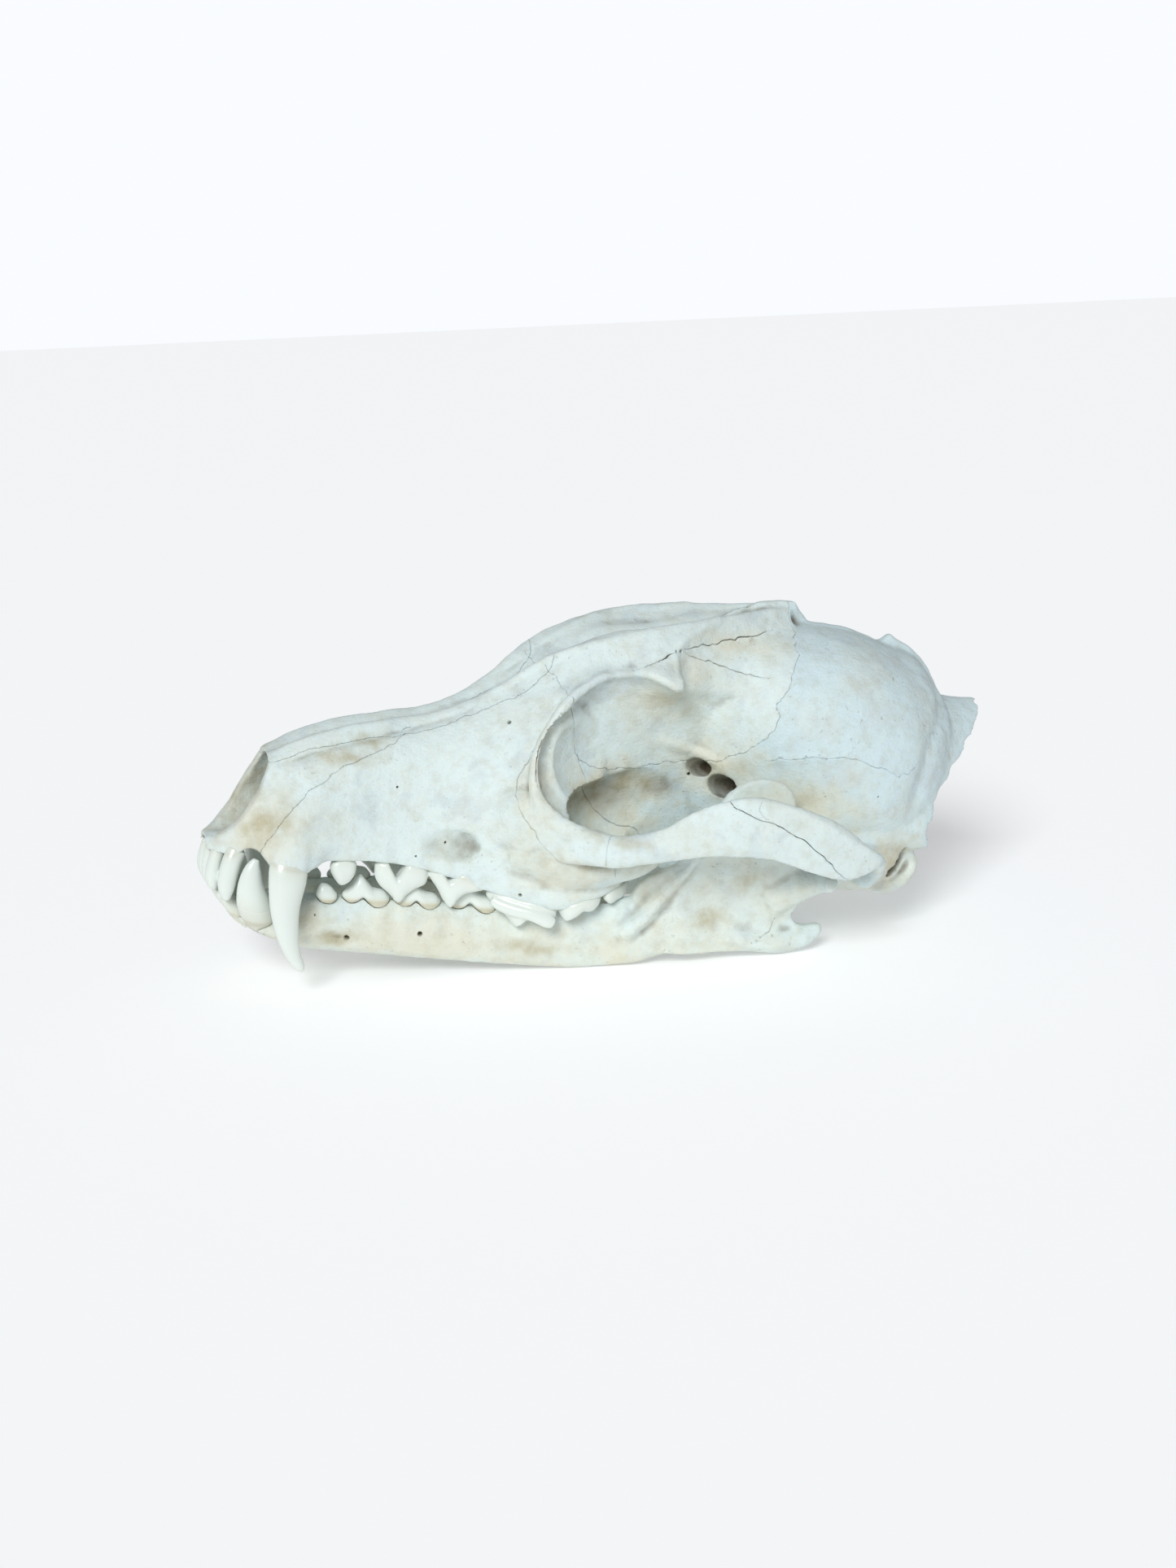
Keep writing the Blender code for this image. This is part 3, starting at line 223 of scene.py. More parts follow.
LOWER_CHEEK = (
    (
        2.8, 0.7, ((20.5, -4.3), (21.4, -2.8), (22.4, -3), (24.3, -4.5)),
        ((20.5, -5.4), (21.4, -6.2), (23, -6.5), (24.3, -5.9)),
    ),
    (
        3.3, 0.8,
        (
            (25.3, -4.4), (26.6, -3.1), (28.1, -1.1), (29.6, -2.4), (30.8, -3.5), (32.4, -3.6),
            (33.7, -4.6),
        ),
        (
            (25.3, -5.7), (26.6, -6.6), (27.8, -6.2), (28.9, -5.3), (29.9, -6.2), (31.2, -7.2),
            (32.8, -7.4), (33.7, -6.4),
        ),
    ),
    (
        3.5, 0.85,
        ((34.4, -4.6), (35.8, -3), (37.4, -1.6), (39, -3), (40.4, -3.7), (41.6, -3.8), (42.8, -4.6)),
        (
            (34.4, -6.3), (36, -7.1), (37.2, -6.6), (38.3, -5.4), (39.4, -6.5), (40.8, -7.4), (42, -7.4),
            (42.8, -6.4),
        ),
    ),
    (
        3.6, 0.85,
        ((43.8, -4.4), (45.4, -2.8), (47, -1), (48.8, -2.6), (50.2, -3.4), (51.6, -3.7), (52.8, -4.8)),
        (
            (43.8, -6), (45.4, -6.7), (46.7, -6.3), (47.8, -5.2), (49, -6.2), (50.4, -7.2), (51.8, -7.4),
            (52.8, -6.4),
        ),
    ),
    (
        4.6, 1.5, ((54.4, -4.2), (56.4, -2), (59.4, -0.4), (62.4, -2.2), (66, -3), (69, -3.6)),
        ((54.4, -6), (61.5, -5.6), (69, -5.4)),
    ),
    (3.6, 1.6, ((70, -3.4), (72, -2.6), (74.4, -2.4), (76, -2.6)), ((70, -4.6), (73, -4.6), (76, -3.8))),
    (2.6, 1.6, ((77, -1.8), (78.2, -1.2), (79.4, -1.6)), ((77, -3), (78.2, -3.2), (79.4, -2.8))),
)

# The crown's section on one side: share of its half width, and place from the neck at 1 to the tip at -1.
CROWN_SECTION = ((0.55, 1), (0.92, 0.75), (1, 0.35), (0.96, -0.1), (0.8, -0.5), (0.54, -0.82), (0.2, -1))

# The bright outer edge of the big upper cheek tooth: x, how far in, z, half height, half thickness.
BLADE_EDGE = (
    (50.6, 1, -3.4, 0.8, 0.7), (52.2, 0.9, -4.1, 1.2, 1.1), (54.6, 0.9, -4.7, 1.35, 1.25),
    (57.4, 0.9, -5.1, 1.3, 1.2), (60, 0.9, -6, 1.35, 1.1), (61.2, 1.1, -6.5, 0.9, 0.7),
)

# The inner lobes of the upper molars: x, y where they start and end, width, lowest z.
UPPER_LOBES = ((66.6, 17.6, 9.8, 5.4, -2.7), (73.2, 15.4, 10.4, 3.6, -0.8))
LOBE_TOP = 3.0

# Front teeth as stations x, y, z, radius from front to back, radius across.
UPPER_CANINE = (
    (16.6, -9, 5, 2.4, 1.5), (14.6, -11, 1.8, 3.3, 2.1), (14.2, -11.8, -1.2, 3.35, 2.3),
    (14, -12.4, -6, 2.65, 1.9), (14.7, -12.9, -10.6, 2, 1.5), (15.8, -13.2, -14, 1.4, 1.1),
    (17.1, -13.4, -16.2, 0.95, 0.8), (17.8, -13.45, -17.2, 0.4, 0.35),
)
LOWER_CANINE = (
    (12, -7.2, -11, 1.8, 1.4), (10.4, -7.8, -8.8, 2.7, 2), (9.1, -8.3, -6.1, 2.85, 2.1),
    (8.4, -8.7, -3.1, 2.3, 1.7), (8.5, -8.9, -0.1, 1.5, 1.15), (9, -9, 1.8, 0.55, 0.5),
)

# Incisors, as the same kind of stations.
UPPER_INCISORS = (
    (
        (2.4, -1.7, 2.6, 1.1, 1.1), (2.2, -1.65, 0.3, 1.25, 1.25), (2.2, -1.6, -2.2, 1.3, 1.35),
        (2.2, -1.6, -3.8, 0.95, 1.25), (2.2, -1.6, -4.6, 0.4, 0.8),
    ),
    (
        (3.4, -4.2, 2.6, 1.3, 1.2), (2.7, -4.4, 0.2, 1.35, 1.3), (2.45, -4.5, -2.2, 1.45, 1.45),
        (2.6, -4.5, -4, 1.1, 1.3), (2.8, -4.5, -4.9, 0.5, 0.8),
    ),
    (
        (6, -6.6, 2.8, 1.7, 1.4), (5.2, -6.9, 0.8, 1.75, 1.5), (4.6, -7, -2.2, 1.75, 1.5),
        (4.5, -7.2, -4.4, 1.4, 1.35), (4.6, -7.4, -6.1, 0.6, 0.8),
    ),
)
LOWER_INCISORS = (
    (
        (8.5, -1.2, -10.5, 0.9, 0.8), (6, -1.2, -8.2, 1.1, 0.9), (4.2, -1.2, -6, 1.1, 0.95),
        (3.4, -1.2, -4.8, 0.6, 0.8),
    ),
    (
        (9, -3.1, -10.8, 0.95, 0.8), (6.6, -3.1, -8.6, 1.15, 0.95), (4.6, -3.2, -6.3, 1.15, 1),
        (3.8, -3.2, -5.1, 0.6, 0.8),
    ),
    (
        (9.4, -4.8, -11.2, 1, 0.85), (7.2, -5, -9.2, 1.25, 1), (5.4, -5.1, -6.9, 1.2, 0.95),
        (4.6, -5.1, -5.7, 0.6, 0.7),
    ),
)

# Where the bones part, as lines in x and z seen from the side.
NOSE_SEAM = (
    (6, 15.6), (11, 18.2), (22, 21.8), (37, 24.9), (43, 26.9), (50, 30.4), (56, 34.4), (59.4, 38.4),
    (60, 46),
)
PREMAXILLA_SEAM = ((9.6, -4), (9.8, 4), (12.6, 9), (17, 14), (24, 18.8), (30, 21.6), (35.8, 25.3))
FRONTAL_SEAM = (
    (58.4, 38.2), (60.6, 35), (63, 28), (65, 22), (72, 20), (84, 21.5), (94, 24), (99, 29), (100, 34),
    (103, 40), (106, 46), (106.6, 56),
)
PALATE_SEAM = ((64.6, 23.2), (68, 14), (74, 9.5), (79.6, 7), (80.2, -5))
CHEEK_SEAM = (
    (82.6, 25), (85.8, 20.2), (90, 18.3), (95.5, 16.2), (102.3, 12.2), (107, 8.6), (110.4, 5.6),
    (113.4, 2),
)

# A point on each bone, by which it is told from its neighbours.
ANCHORS = {
    "premaxilla_left": (4, -8, 5),
    "maxilla_left": (30, -11, 8),
    "nasal_left": (30, -3, 26),
    "frontal_left": (75, -9, 44),
    "braincase": (115, 0, 47),
    "jugal_left": (80, -34, 12),
    "temporal_process_left": (102, -37.5, 16),
}

# The ways that a bar's first size can point.
AHEAD, ASIDE, UP = (1, 0, 0), (0, 1, 0), (0, 0, 1)
# Rounded bars and round cutters on the left side: which way the first size points, points round it, steps
# between stations, power of its section, and stations x, y, z, half size that way, half size across.
BARS = {
    # The passage of the nose, behind its opening.
    "nose_passage": (
        UP, 20, 4, 1,
        (
            (-4, 0, 11.4, 7, 5.6), (8, 0, 11, 6.4, 5.2), (14, 0, 12.4, 6.8, 5.4), (24, 0, 14, 6.8, 5.4),
            (34, 0, 15, 4.6, 3.8), (38, 0, 15.4, 1.4, 1.2),
        ),
    ),
    # The hollow in the cheek, which fades in from the front and ends at a rim.
    "canal": (
        UP, 20, 5, 1,
        (
            (30, -15, 6.5, 2.2, 2.2), (36.5, -14.7, 6.4, 3.1, 2.9), (41, -14.7, 6.2, 3.4, 3.2),
            (44.4, -14.8, 6, 3.2, 3.1), (45.8, -15.2, 5.9, 2.6, 2.6), (46.7, -15.8, 5.8, 1.7, 1.7),
        ),
    ),
    # The hollow under the ledge at the bottom of the eye socket.
    "recess": (
        UP, 24, 5, 0.8,
        (
            (62, -18.6, 13.8, 2, 2.4), (65.5, -16, 13.2, 4.4, 4.4), (70, -13.8, 12.8, 6, 4.8),
            (75, -12.2, 13.2, 7, 4.4), (80, -11.4, 14.2, 7, 3.2), (84.5, -12, 15, 5, 2.2),
            (88.5, -13, 15.4, 2.2, 1.2),
        ),
    ),
    # The groove behind the front rim of the eye socket.
    "tear_groove": (
        ASIDE, 18, 4, 1,
        (
            (61.2, -16.4, 31.6, 1.2, 1.2), (59.4, -17.8, 28.4, 2.2, 2.2), (58.2, -19.2, 24, 2.8, 2.8),
            (58.8, -20.4, 19.8, 3.2, 3.2), (61.2, -21.6, 16.8, 3.7, 3.7), (65, -22, 15.6, 4.2, 4.2),
            (69, -21.6, 15.6, 3.4, 3.4),
        ),
    ),
    # The canal for the eye's nerve.
    "optic": (
        UP, 14, 4, 1,
        ((85.2, -13.8, 21.6, 1.9, 2.6), (89, -10.2, 20.9, 1.6, 2.1), (93, -6.8, 20, 1, 1.3)),
    ),
    # The larger opening behind it.
    "fissure": (
        UP, 16, 4, 1, ((88.4, -16.6, 18.6, 2.3, 3), (93, -12.4, 18, 2, 2.5), (98.5, -9, 17.2, 1.4, 1.7)),
    ),
    # The ear hole, a curved hollow above the lip.
    "ear_hole": (
        ASIDE, 12, 4, 1,
        (
            (127.6, -21, 9, 1, 0.8), (127.2, -19.2, 6.6, 1.4, 1.2), (124.6, -18.8, 4.8, 1.7, 1.5),
            (121, -18.6, 4.4, 1.5, 1.4), (117.5, -18.4, 4.6, 1, 1),
        ),
    ),
    # The passage behind the palate, on the midline.
    "throat": (UP, 20, 6, 0.7, ((78.5, 0, 2, 5.6, 4.6), (90, 0, 2.6, 6, 4.6), (108, 0, 2, 5.6, 5.6))),
    # The cheek arch.
    "arch": (
        UP, 16, 4, 1,
        (
            (58, -18, 8.2, 3.8, 3.4), (63, -23, 9.2, 3.3, 3.2), (69, -28, 9.6, 2.9, 2.3),
            (76, -31.3, 11.7, 3.3, 1.6), (82, -33.3, 14.4, 4.7, 1.4), (88, -34.9, 15.8, 5.4, 1.4),
            (95, -36, 15.6, 5.4, 1.4), (102, -36.3, 13.6, 5.4, 1.4), (108.6, -36.1, 11, 4.6, 1.15),
            (112.6, -35.6, 10.4, 3, 1.1), (115.6, -34.4, 10.2, 1.3, 1.1), (117.2, -29.5, 6.8, 1.4, 1.8),
            (118.6, -20, 7.6, 2.4, 3),
        ),
    ),
    # The process behind the eye socket.
    "brow_horn": (
        UP, 14, 4, 1,
        (
            (74, -10, 39, 3, 5), (77.4, -13.6, 38.8, 2.4, 4), (79.4, -16.2, 37.8, 1.6, 2.6),
            (80.6, -18.4, 36.4, 0.9, 1.2),
        ),
    ),
    # The bulge that the root of the upper canine makes in the cheek.
    "canine_root": (
        AHEAD, 16, 4, 1,
        (
            (14.3, -11.5, 0.2, 3.5, 2.3), (14.8, -11, 3.4, 3.5, 2.4), (16.4, -10.2, 7.4, 3.1, 2.1),
            (19.4, -9.2, 11.4, 2.4, 1.7), (23, -8.6, 14.5, 1.5, 1.2),
        ),
    ),
    # The bone round the ear hole and behind it.
    "ear_base": (
        UP, 14, 4, 1,
        (
            (108, -18.4, 11, 1.5, 1.2), (114, -19.4, 11, 2.6, 2), (120, -19.6, 11.2, 3.2, 2.5),
            (126, -19, 11.4, 3.4, 2.2), (131.4, -18.8, 11, 2.4, 1.4),
        ),
    ),
    # The curled lip below the ear hole.
    "ear_lip": (
        ASIDE, 12, 5, 1,
        (
            (119.5, -18.6, 2, 1, 1), (123, -18.8, 1.2, 1.2, 1.2), (127, -18.2, 1.6, 1.5, 1.3),
            (129.8, -17.6, 3.8, 1.6, 1.3), (130.2, -17.6, 6.2, 1.3, 1.2), (128.4, -18, 8, 0.9, 1),
        ),
    ),
    # The edge above the ear hole.
    "ear_shelf": (
        UP, 10, 4, 1,
        ((126.8, -19.4, 10.2, 1, 0.9), (129.6, -19.2, 9.8, 1.2, 1), (132.2, -18.6, 10, 1.3, 1.1)),
    ),
    # The small process behind the ear capsule.
    "neck_process": (
        AHEAD, 10, 3, 1,
        ((128.4, -15.4, 11, 2.6, 3), (128.8, -15.8, 6, 2, 2.2), (129, -16.2, 2.8, 1.1, 1.2)),
    ),
    # The cheek below the eye socket, flaring out to the arch.
    "cheek_flare": (
        UP, 16, 4, 1,
        (
            (49, -13, 9.6, 3.4, 1.6), (53, -16.4, 11.4, 5.4, 2.4), (57, -19.8, 12.2, 5.6, 2.6),
            (62, -22.8, 10.2, 3.6, 2.4), (68, -26.8, 9.4, 2.6, 2.2),
        ),
    ),
    # The slope from the arch's root down to the back teeth.
    "cheek_slope": (
        (0, -0.73, 0.68), 16, 4, 1,
        (
            (53, -15.6, 3.4, 3.4, 1.4), (60, -19.8, 2.6, 4.4, 2), (65, -20.4, 2.8, 4, 2.2),
            (70, -20.3, 3.6, 3.8, 2.2), (75, -20.4, 4.8, 3.6, 2), (79, -20.6, 6.4, 2.4, 1.4),
        ),
    ),
    # The hook behind the palate.
    "hook_plate": (
        UP, 10, 4, 1,
        (
            (84, -6.4, 4, 4, 0.9), (94, -6.2, 4.4, 4, 0.9), (99, -6.4, 3.4, 2.6, 0.9),
            (103.6, -7, 1.2, 1, 0.7),
        ),
    ),
    # The front edge of the jaw's upright blade.
    "jaw_ridge": (
        AHEAD, 12, 4, 1,
        (
            (74.4, -18.2, -9.2, 1.6, 1.2), (77.6, -19.2, -5.2, 1.7, 1.4), (81.8, -20.4, 1, 1.6, 1.4),
            (85.2, -21.8, 7.2, 1.4, 1.4), (88.4, -23.2, 14.6, 1.1, 1.2), (91.6, -24.2, 20.4, 0.8, 1),
        ),
    ),
    # The blade's inner front edge.
    "jaw_inner_edge": (
        AHEAD, 12, 4, 1,
        (
            (79.6, -16.4, -2.6, 2, 2), (82, -17.4, 0.4, 2, 2.2), (85, -19, 3.6, 1.8, 2),
            (88, -20.8, 9, 1.4, 1.6), (90.4, -22.2, 15, 1, 1.2),
        ),
    ),
    # The knuckle of the jaw joint.
    "jaw_knuckle": (
        UP, 14, 4, 1,
        (
            (109, -19.6, 3.6, 1.7, 1.7), (109.8, -22.5, 3.9, 2.3, 2.1), (109.8, -26, 4, 2.1, 2),
            (109.4, -28.8, 4.2, 1.3, 1.3),
        ),
    ),
    # The neck below the knuckle.
    "jaw_neck": (
        UP, 12, 4, 1, ((101, -21.4, -1, 3, 1.5), (106, -22.6, 2, 2.8, 1.7), (110, -23.6, 3.6, 2.2, 2)),
    ),
    # The hook at the jaw's lower back corner.
    "jaw_hook": (
        UP, 12, 4, 1,
        (
            (96, -20.6, -8.6, 1.8, 1.5), (103, -21.2, -8.8, 2, 1.7), (108.4, -21.2, -8, 1.9, 1.4),
            (111.6, -21, -6.9, 1, 0.9),
        ),
    ),
}
# Egg-shaped forms: middle, radii, turns about x, y and z in degrees, fineness.
BALLS = {
    "orbit": ((71.5, -25.5, 24.5), (16.2, 14.6, 13.8), (0, 0, 0), 4),
    "bulla": ((119.8, -14, 6.9), (10.8, 8.4, 7.4), (0, -4, 12), 4),
    "condyle": ((131.6, -7.6, 12.2), (4.4, 4.8, 5.4), (0, 20, 20), 4),
    "glenoid": ((115.8, -25.6, 5.9), (1.9, 6, 3), (0, -14, 4), 3),
    "spine_hole": ((138.5, 0, 17.4), (9, 6.8, 6), (0, 0, 0), 2),
}
# The forms that are melted into the cranium on both sides, and the hollows that are cut from it.
SIDE_FORMS = (
    ("arch",), ("brow_horn",), ("bulla",), ("canine_root",), ("back_crest",), ("condyle",),
    ("ear_base", "ear_lip", "ear_shelf"), ("neck_process",), ("orbit_rim", "cheek_flare", "cheek_slope"),
    ("glenoid",), ("hook_plate",),
)
SIDE_HOLLOWS = ("recess", "tear_groove", "optic", "fissure")
JAW_FORMS = ("jaw_ridge", "jaw_inner_edge", "jaw_knuckle", "jaw_neck", "jaw_hook")
# The front of the nose that is cut away, in x and z.
NOSE_FRONT = (
    (-6, 4.2), (2, 4.2), (3.9, 5.6), (6, 8), (8, 11.8), (9.6, 15.4), (10.7, 18.2), (10.2, 20), (9.8, 26),
    (-6, 26),
)
# The root of the top crest, in x and z, and the back crest's section: share of its reach, half thickness.
TOP_CREST_ROOT = ((133, 36), (100, 40), (88, 42))
FLANGE_SECTION = ((0, 2), (0.25, 1.1), (0.5, 0.65), (0.85, 0.5), (1, 0.42))
# The seams across the skull: line, how far to each side, then size and swing of the waves, and seed.
SEAMS = (
    ("nose_seam", NOSE_SEAM, 30.0, 1.6, 0.25, 3),
    ("premaxilla_seam", PREMAXILLA_SEAM, 30.0, 1.5, 0.35, 5),
    ("frontal_seam", FRONTAL_SEAM, 30.0, 1.8, 0.5, 7),
    ("palate_seam", PALATE_SEAM, 20.5, 1.8, 0.4, 9),
)
# The seam between the cheek and the arch, on either side: y where it starts and ends, then its waves.
CHEEK_SEAM_Y, CHEEK_SEAM_WAVES = (28.0, 44.0), (2.4, 0.4, 11)
# How much wider the cheek seam is than the others.
CHEEK_SEAM_MORE = 0.1
# The straight cuts through the arch, on either side: x, y and direction in degrees.
ARCH_CUTS = (("front_cut", 67.4, 27.0, 35.0), ("back_cut", 115.0, 31.4, -48.0))
# How far above the tooth line an arch cut is centred, and how long and tall it is.
ARCH_CUT_Z, ARCH_CUT_LONG, ARCH_CUT_TALL = 10.0, 11.0, 24.0
# Steps along a seam's line, across its sheet and along a mark, and how far a mark's cutter stands out.
SEAM_STEP, SHEET_STEP, MARK_STEP, MARK_ABOVE = 0.45, 1.1, 0.5, 0.9
# The first skin's cell against the last one's, and the cell of the socket cutter.
COARSE, SOCKET_CELL = 1.2, 0.25
# How the depth of hollows darkens them with painted shade: rounds of softening, depth where it starts, span,
# share.
HOLLOWS = ((12, 0.05, 0.26, 0.85), (60, 0.22, 1.3, 0.6))


def curve_at(pairs, x):
    """Value at x of the smooth curve through (x, value) pairs that never overshoots them."""
    xs, ys = np.array(pairs, float).T
    x = np.clip(x, xs[0], xs[-1])
    step = np.diff(xs)
    slope = np.diff(ys) / step
    lean = np.zeros(len(xs))
    lean[0], lean[-1] = slope[0], slope[-1]
    same = slope[:-1] * slope[1:] > 0
    lean[1:-1][same] = 2 * slope[:-1][same] * slope[1:][same] / (slope[:-1] + slope[1:])[same]
    i = np.clip(np.searchsorted(xs, x, side="right") - 1, 0, len(step) - 1)
    t = (x - xs[i]) / step[i]
    rise = ys[i] * (1 + 2 * t) * (1 - t) ** 2 + ys[i + 1] * t * t * (3 - 2 * t)
    return rise + step[i] * (lean[i] * t * (1 - t) ** 2 - lean[i + 1] * t * t * (1 - t))


def smooth_path(points, steps, closed=False):
    """Catmull-Rom curve through points, with a number of steps between each two."""
    points = np.array(points, float)
    if closed:
        padded = np.concatenate([points[-1:], points, points[:2]])
        spans = len(points)
    else:
        padded = np.concatenate([2 * points[:1] - points[1:2], points, 2 * points[-1:] - points[-2:-1]])
        spans = len(points) - 1
    t = np.linspace(0, 1, steps, endpoint=False)[:, None]
    out = []
    for i in range(spans):
        a, b, c, d = padded[i : i + 4]
        bend, twist = 2 * a - 5 * b + 4 * c - d, 3 * b - a - 3 * c + d
        out.append(0.5 * (2 * b + (c - a) * t + bend * t**2 + twist * t**3))
    if not closed:
        out.append(padded[-2][None])
    return np.concatenate(out)


def object_from(name, shape):
    """An object in the scene from a bmesh, which is freed."""
    bmesh.ops.recalc_face_normals(shape, faces=shape.faces)
    mesh = bpy.data.meshes.new(name)
    shape.to_mesh(mesh)
    shape.free()
    thing = bpy.data.objects.new(name, mesh)
    bpy.context.scene.collection.objects.link(thing)
    return thing


def skin(name, rings):
    """A closed skin through rings of points: a grid rolled up, its seam welded, its ends filled."""
    rings = np.array(rings, float)
    rows, around = rings.shape[:2]
    shape = bmesh.new()
    bmesh.ops.create_grid(shape, x_segments=around, y_segments=rows - 1, size=1.0)
    places = np.concatenate([rings, rings[:, :1]], axis=1).reshape(-1, 3)
    for vert, place in zip(shape.verts, places):
        vert.co = place
    bmesh.ops.remove_doubles(shape, verts=shape.verts, dist=1e-4)
    rim = [edge for edge in shape.edges if edge.is_boundary]
    if rim:
        bmesh.ops.holes_fill(shape, edges=rim, sides=0)
    bmesh.ops.triangulate(shape, faces=[face for face in shape.faces if len(face.verts) > 4])
    return object_from(name, shape)


def mirrored_ring(x, half, steps):
    """A closed ring at x through half-outline points (y, z), from the bottom middle to the top."""
    half = list(half)
    other = [(-y, z) for y, z in half[-2:0:-1]]
    path = smooth_path([(y, z) for y, z in half + other], steps, closed=True)
    return np.column_stack([np.full(len(path), x), path])


def unit(rows, least=0.0):
    """Rows of numbers scaled to length one, with least added to each length to keep it from zero."""
    return rows / (np.linalg.norm(rows, axis=1)[:, None] + least)


def sweep(name, stations, guide, around, steps, power=1.0):
    """A rounded bar through stations (x, y, z, size along the guide, size across it)."""
    path = smooth_path(stations, steps)
    middle, along, across = path[:, :3], path[:, 3], path[:, 4]
    ahead = unit(np.gradient(middle, axis=0))
    guide = np.array(guide, float)
    first = unit(guide - ahead * (ahead @ guide)[:, None])
    second = np.cross(ahead, first)
    turn = np.linspace(0, 2 * math.pi, around, endpoint=False)
    cos = np.sign(np.cos(turn)) * np.abs(np.cos(turn)) ** power
    sin = np.sign(np.sin(turn)) * np.abs(np.sin(turn)) ** power
    rings = (
        middle[:, None]
        + first[:, None] * (along[:, None] * cos)[..., None]
        + second[:, None] * (across[:, None] * sin)[..., None]
    )
    return skin(name, rings)


def ball(name, middle, radii, turns, detail):
    """An egg-shaped form, turned about x, y and z in degrees."""
    shape = bmesh.new()
    bmesh.ops.create_icosphere(shape, subdivisions=detail, radius=1.0)
    turn = Matrix.Identity(4)
    for angle, axis in zip(turns, "XYZ"):
        turn = Matrix.Rotation(math.radians(angle), 4, axis) @ turn
    place = Matrix.Translation(middle) @ turn @ Matrix.Diagonal((*radii, 1.0))
    bmesh.ops.transform(shape, matrix=place, verts=shape.verts)
    return object_from(name, shape)


def plate(name, outline, thick_of, place_of):
    """A flat-sided body from a closed outline: place_of gives each side's points from (u, v, side)."""
    shape = bmesh.new()
    base = [shape.verts.new((u, v, 0.0)) for u, v in outline]
    shape.faces.new(base).normal_update()
    flat = bmesh.ops.triangulate(shape, faces=shape.faces)["faces"]
    made = bmesh.ops.extrude_face_region(shape, geom=flat, use_keep_orig=True)
    lifted = {v for v in made["geom"] if isinstance(v, bmesh.types.BMVert)}
    for vert in shape.verts:
        side = 1.0 if vert in lifted else -1.0
        u, v = vert.co.x, vert.co.y
        vert.co = place_of(u, v, side * thick_of(u, v))
    return object_from(name, shape)


def apply_modifiers(thing):
    """Makes the result of a thing's modifiers its own mesh."""
    graph = bpy.context.evaluated_depsgraph_get()
    made = bpy.data.meshes.new_from_object(thing.evaluated_get(graph))
    old = thing.data
    thing.modifiers.clear()
    thing.data = made
    bpy.data.meshes.remove(old)
    return thing


def cut_away(thing, cutters, solver="MANIFOLD"):
    """Cuts the cutters from a thing and removes them."""
    group = bpy.data.collections.new("cutters")
    bpy.context.scene.collection.children.link(group)
    for cutter in cutters:
        group.objects.link(cutter)
        cutter.hide_render = True
        cutter.display_type = "WIRE"
    step = thing.modifiers.new("cut", "BOOLEAN")
    step.operation = "DIFFERENCE"
    step.solver = solver
    step.operand_type = "COLLECTION"
    step.collection = group
    apply_modifiers(thing)
    for cutter in cutters:
        bpy.data.objects.remove(cutter, do_unlink=True)
    bpy.data.collections.remove(group)


def joined(name, things):
    """One object that holds all the things' shells, which may pass through each other."""
    shape = bmesh.new()
    for thing in things:
        shape.from_mesh(thing.data)
        bpy.data.objects.remove(thing, do_unlink=True)
    mesh = bpy.data.meshes.new(name)
    shape.to_mesh(mesh)
    shape.free()
    whole = bpy.data.objects.new(name, mesh)
    bpy.context.scene.collection.objects.link(whole)
    return whole


def fused(thing, voxel, rounds):
    """Melts the shells of a thing into one smooth skin."""
    step = thing.modifiers.new("melt", "REMESH")
    step.mode = "VOXEL"
    step.voxel_size = voxel
    step.adaptivity = 0.0
    soften = thing.modifiers.new("soften", "SMOOTH")
    soften.factor = 0.5
    soften.iterations = rounds
    return apply_modifiers(thing)


def mirror_copy(thing, name):
    """A copy on the animal's other side."""
    copy = thing.copy()
    copy.name = name
    copy.data = thing.data.copy()
    bpy.context.scene.collection.objects.link(copy)
    copy.data.transform(Matrix.Diagonal((1.0, -1.0, 1.0, 1.0)))
    copy.data.flip_normals()
    return copy


def value_noise(places, size, seed):
    """Smooth noise from -1 to 1 over points, with lumps of about the given size."""
    grid = places / size + 37.3 * seed
    cell = np.floor(grid).astype(np.int64)
    part = grid - cell
    part = part * part * (3 - 2 * part)
    total = np.zeros(len(places))
    for corner in range(8):
        step = np.array([corner & 1, corner >> 1 & 1, corner >> 2 & 1])
        at = cell + step
        key = (at[:, 0] * 73856093) ^ (at[:, 1] * 19349663) ^ (at[:, 2] * 83492791) ^ (seed * 2654435)
        key = (key ^ (key >> 13)) * 1274126177 & 0x7FFFFFFF
        weight = np.where(step, part, 1 - part).prod(axis=1)
        total += weight * ((key ^ (key >> 15)) % 65536 / 32767.5 - 1)
    return total


def near_line(places, line):
    """Distance from each point to a line through points, and how far along it the nearest spot is."""
    line = np.array(line, float)
    best = np.full(len(places), 1e9)
    share = np.zeros(len(places))
    for number, (a, b) in enumerate(zip(line, line[1:])):
        span = b - a
        t = np.clip((places - a) @ span / (span @ span), 0, 1)
        away = np.linalg.norm(places - a - t[:, None] * span, axis=1)
        nearer = away < best
        best[nearer] = away[nearer]
        share[nearer] = (number + t[nearer]) / (len(line) - 1)
    return best, share


def lump(places, middle, radii):
    """Strength from 1 at the middle of a soft lump to nothing outside it."""
    away = (places - np.array(middle)) / np.array(radii)
    return np.exp(-(away**2).sum(axis=1))


def corner_values(thing, key):
    """One vector for each corner of a thing's mesh: its place (co) or its normal."""
    out = np.empty(len(thing.data.vertices) * 3)
    thing.data.vertices.foreach_get(key, out)
    return out.reshape(-1, 3)


def places_of(thing):
    """The places of a thing's corners."""
    return corner_values(thing, "co")


def end_fade(count, reach, least=0.0):
    """A share for each of a row of points that falls off over the given number of them at both ends."""
    from_end = np.minimum(np.arange(count), np.arange(count)[::-1])
    return np.clip(from_end / reach, least, 1)


def sideways(path):
    """The directions square to a flat path."""
    ahead = unit(np.gradient(path, axis=0))
    return np.column_stack([-ahead[:, 1], ahead[:, 0]])


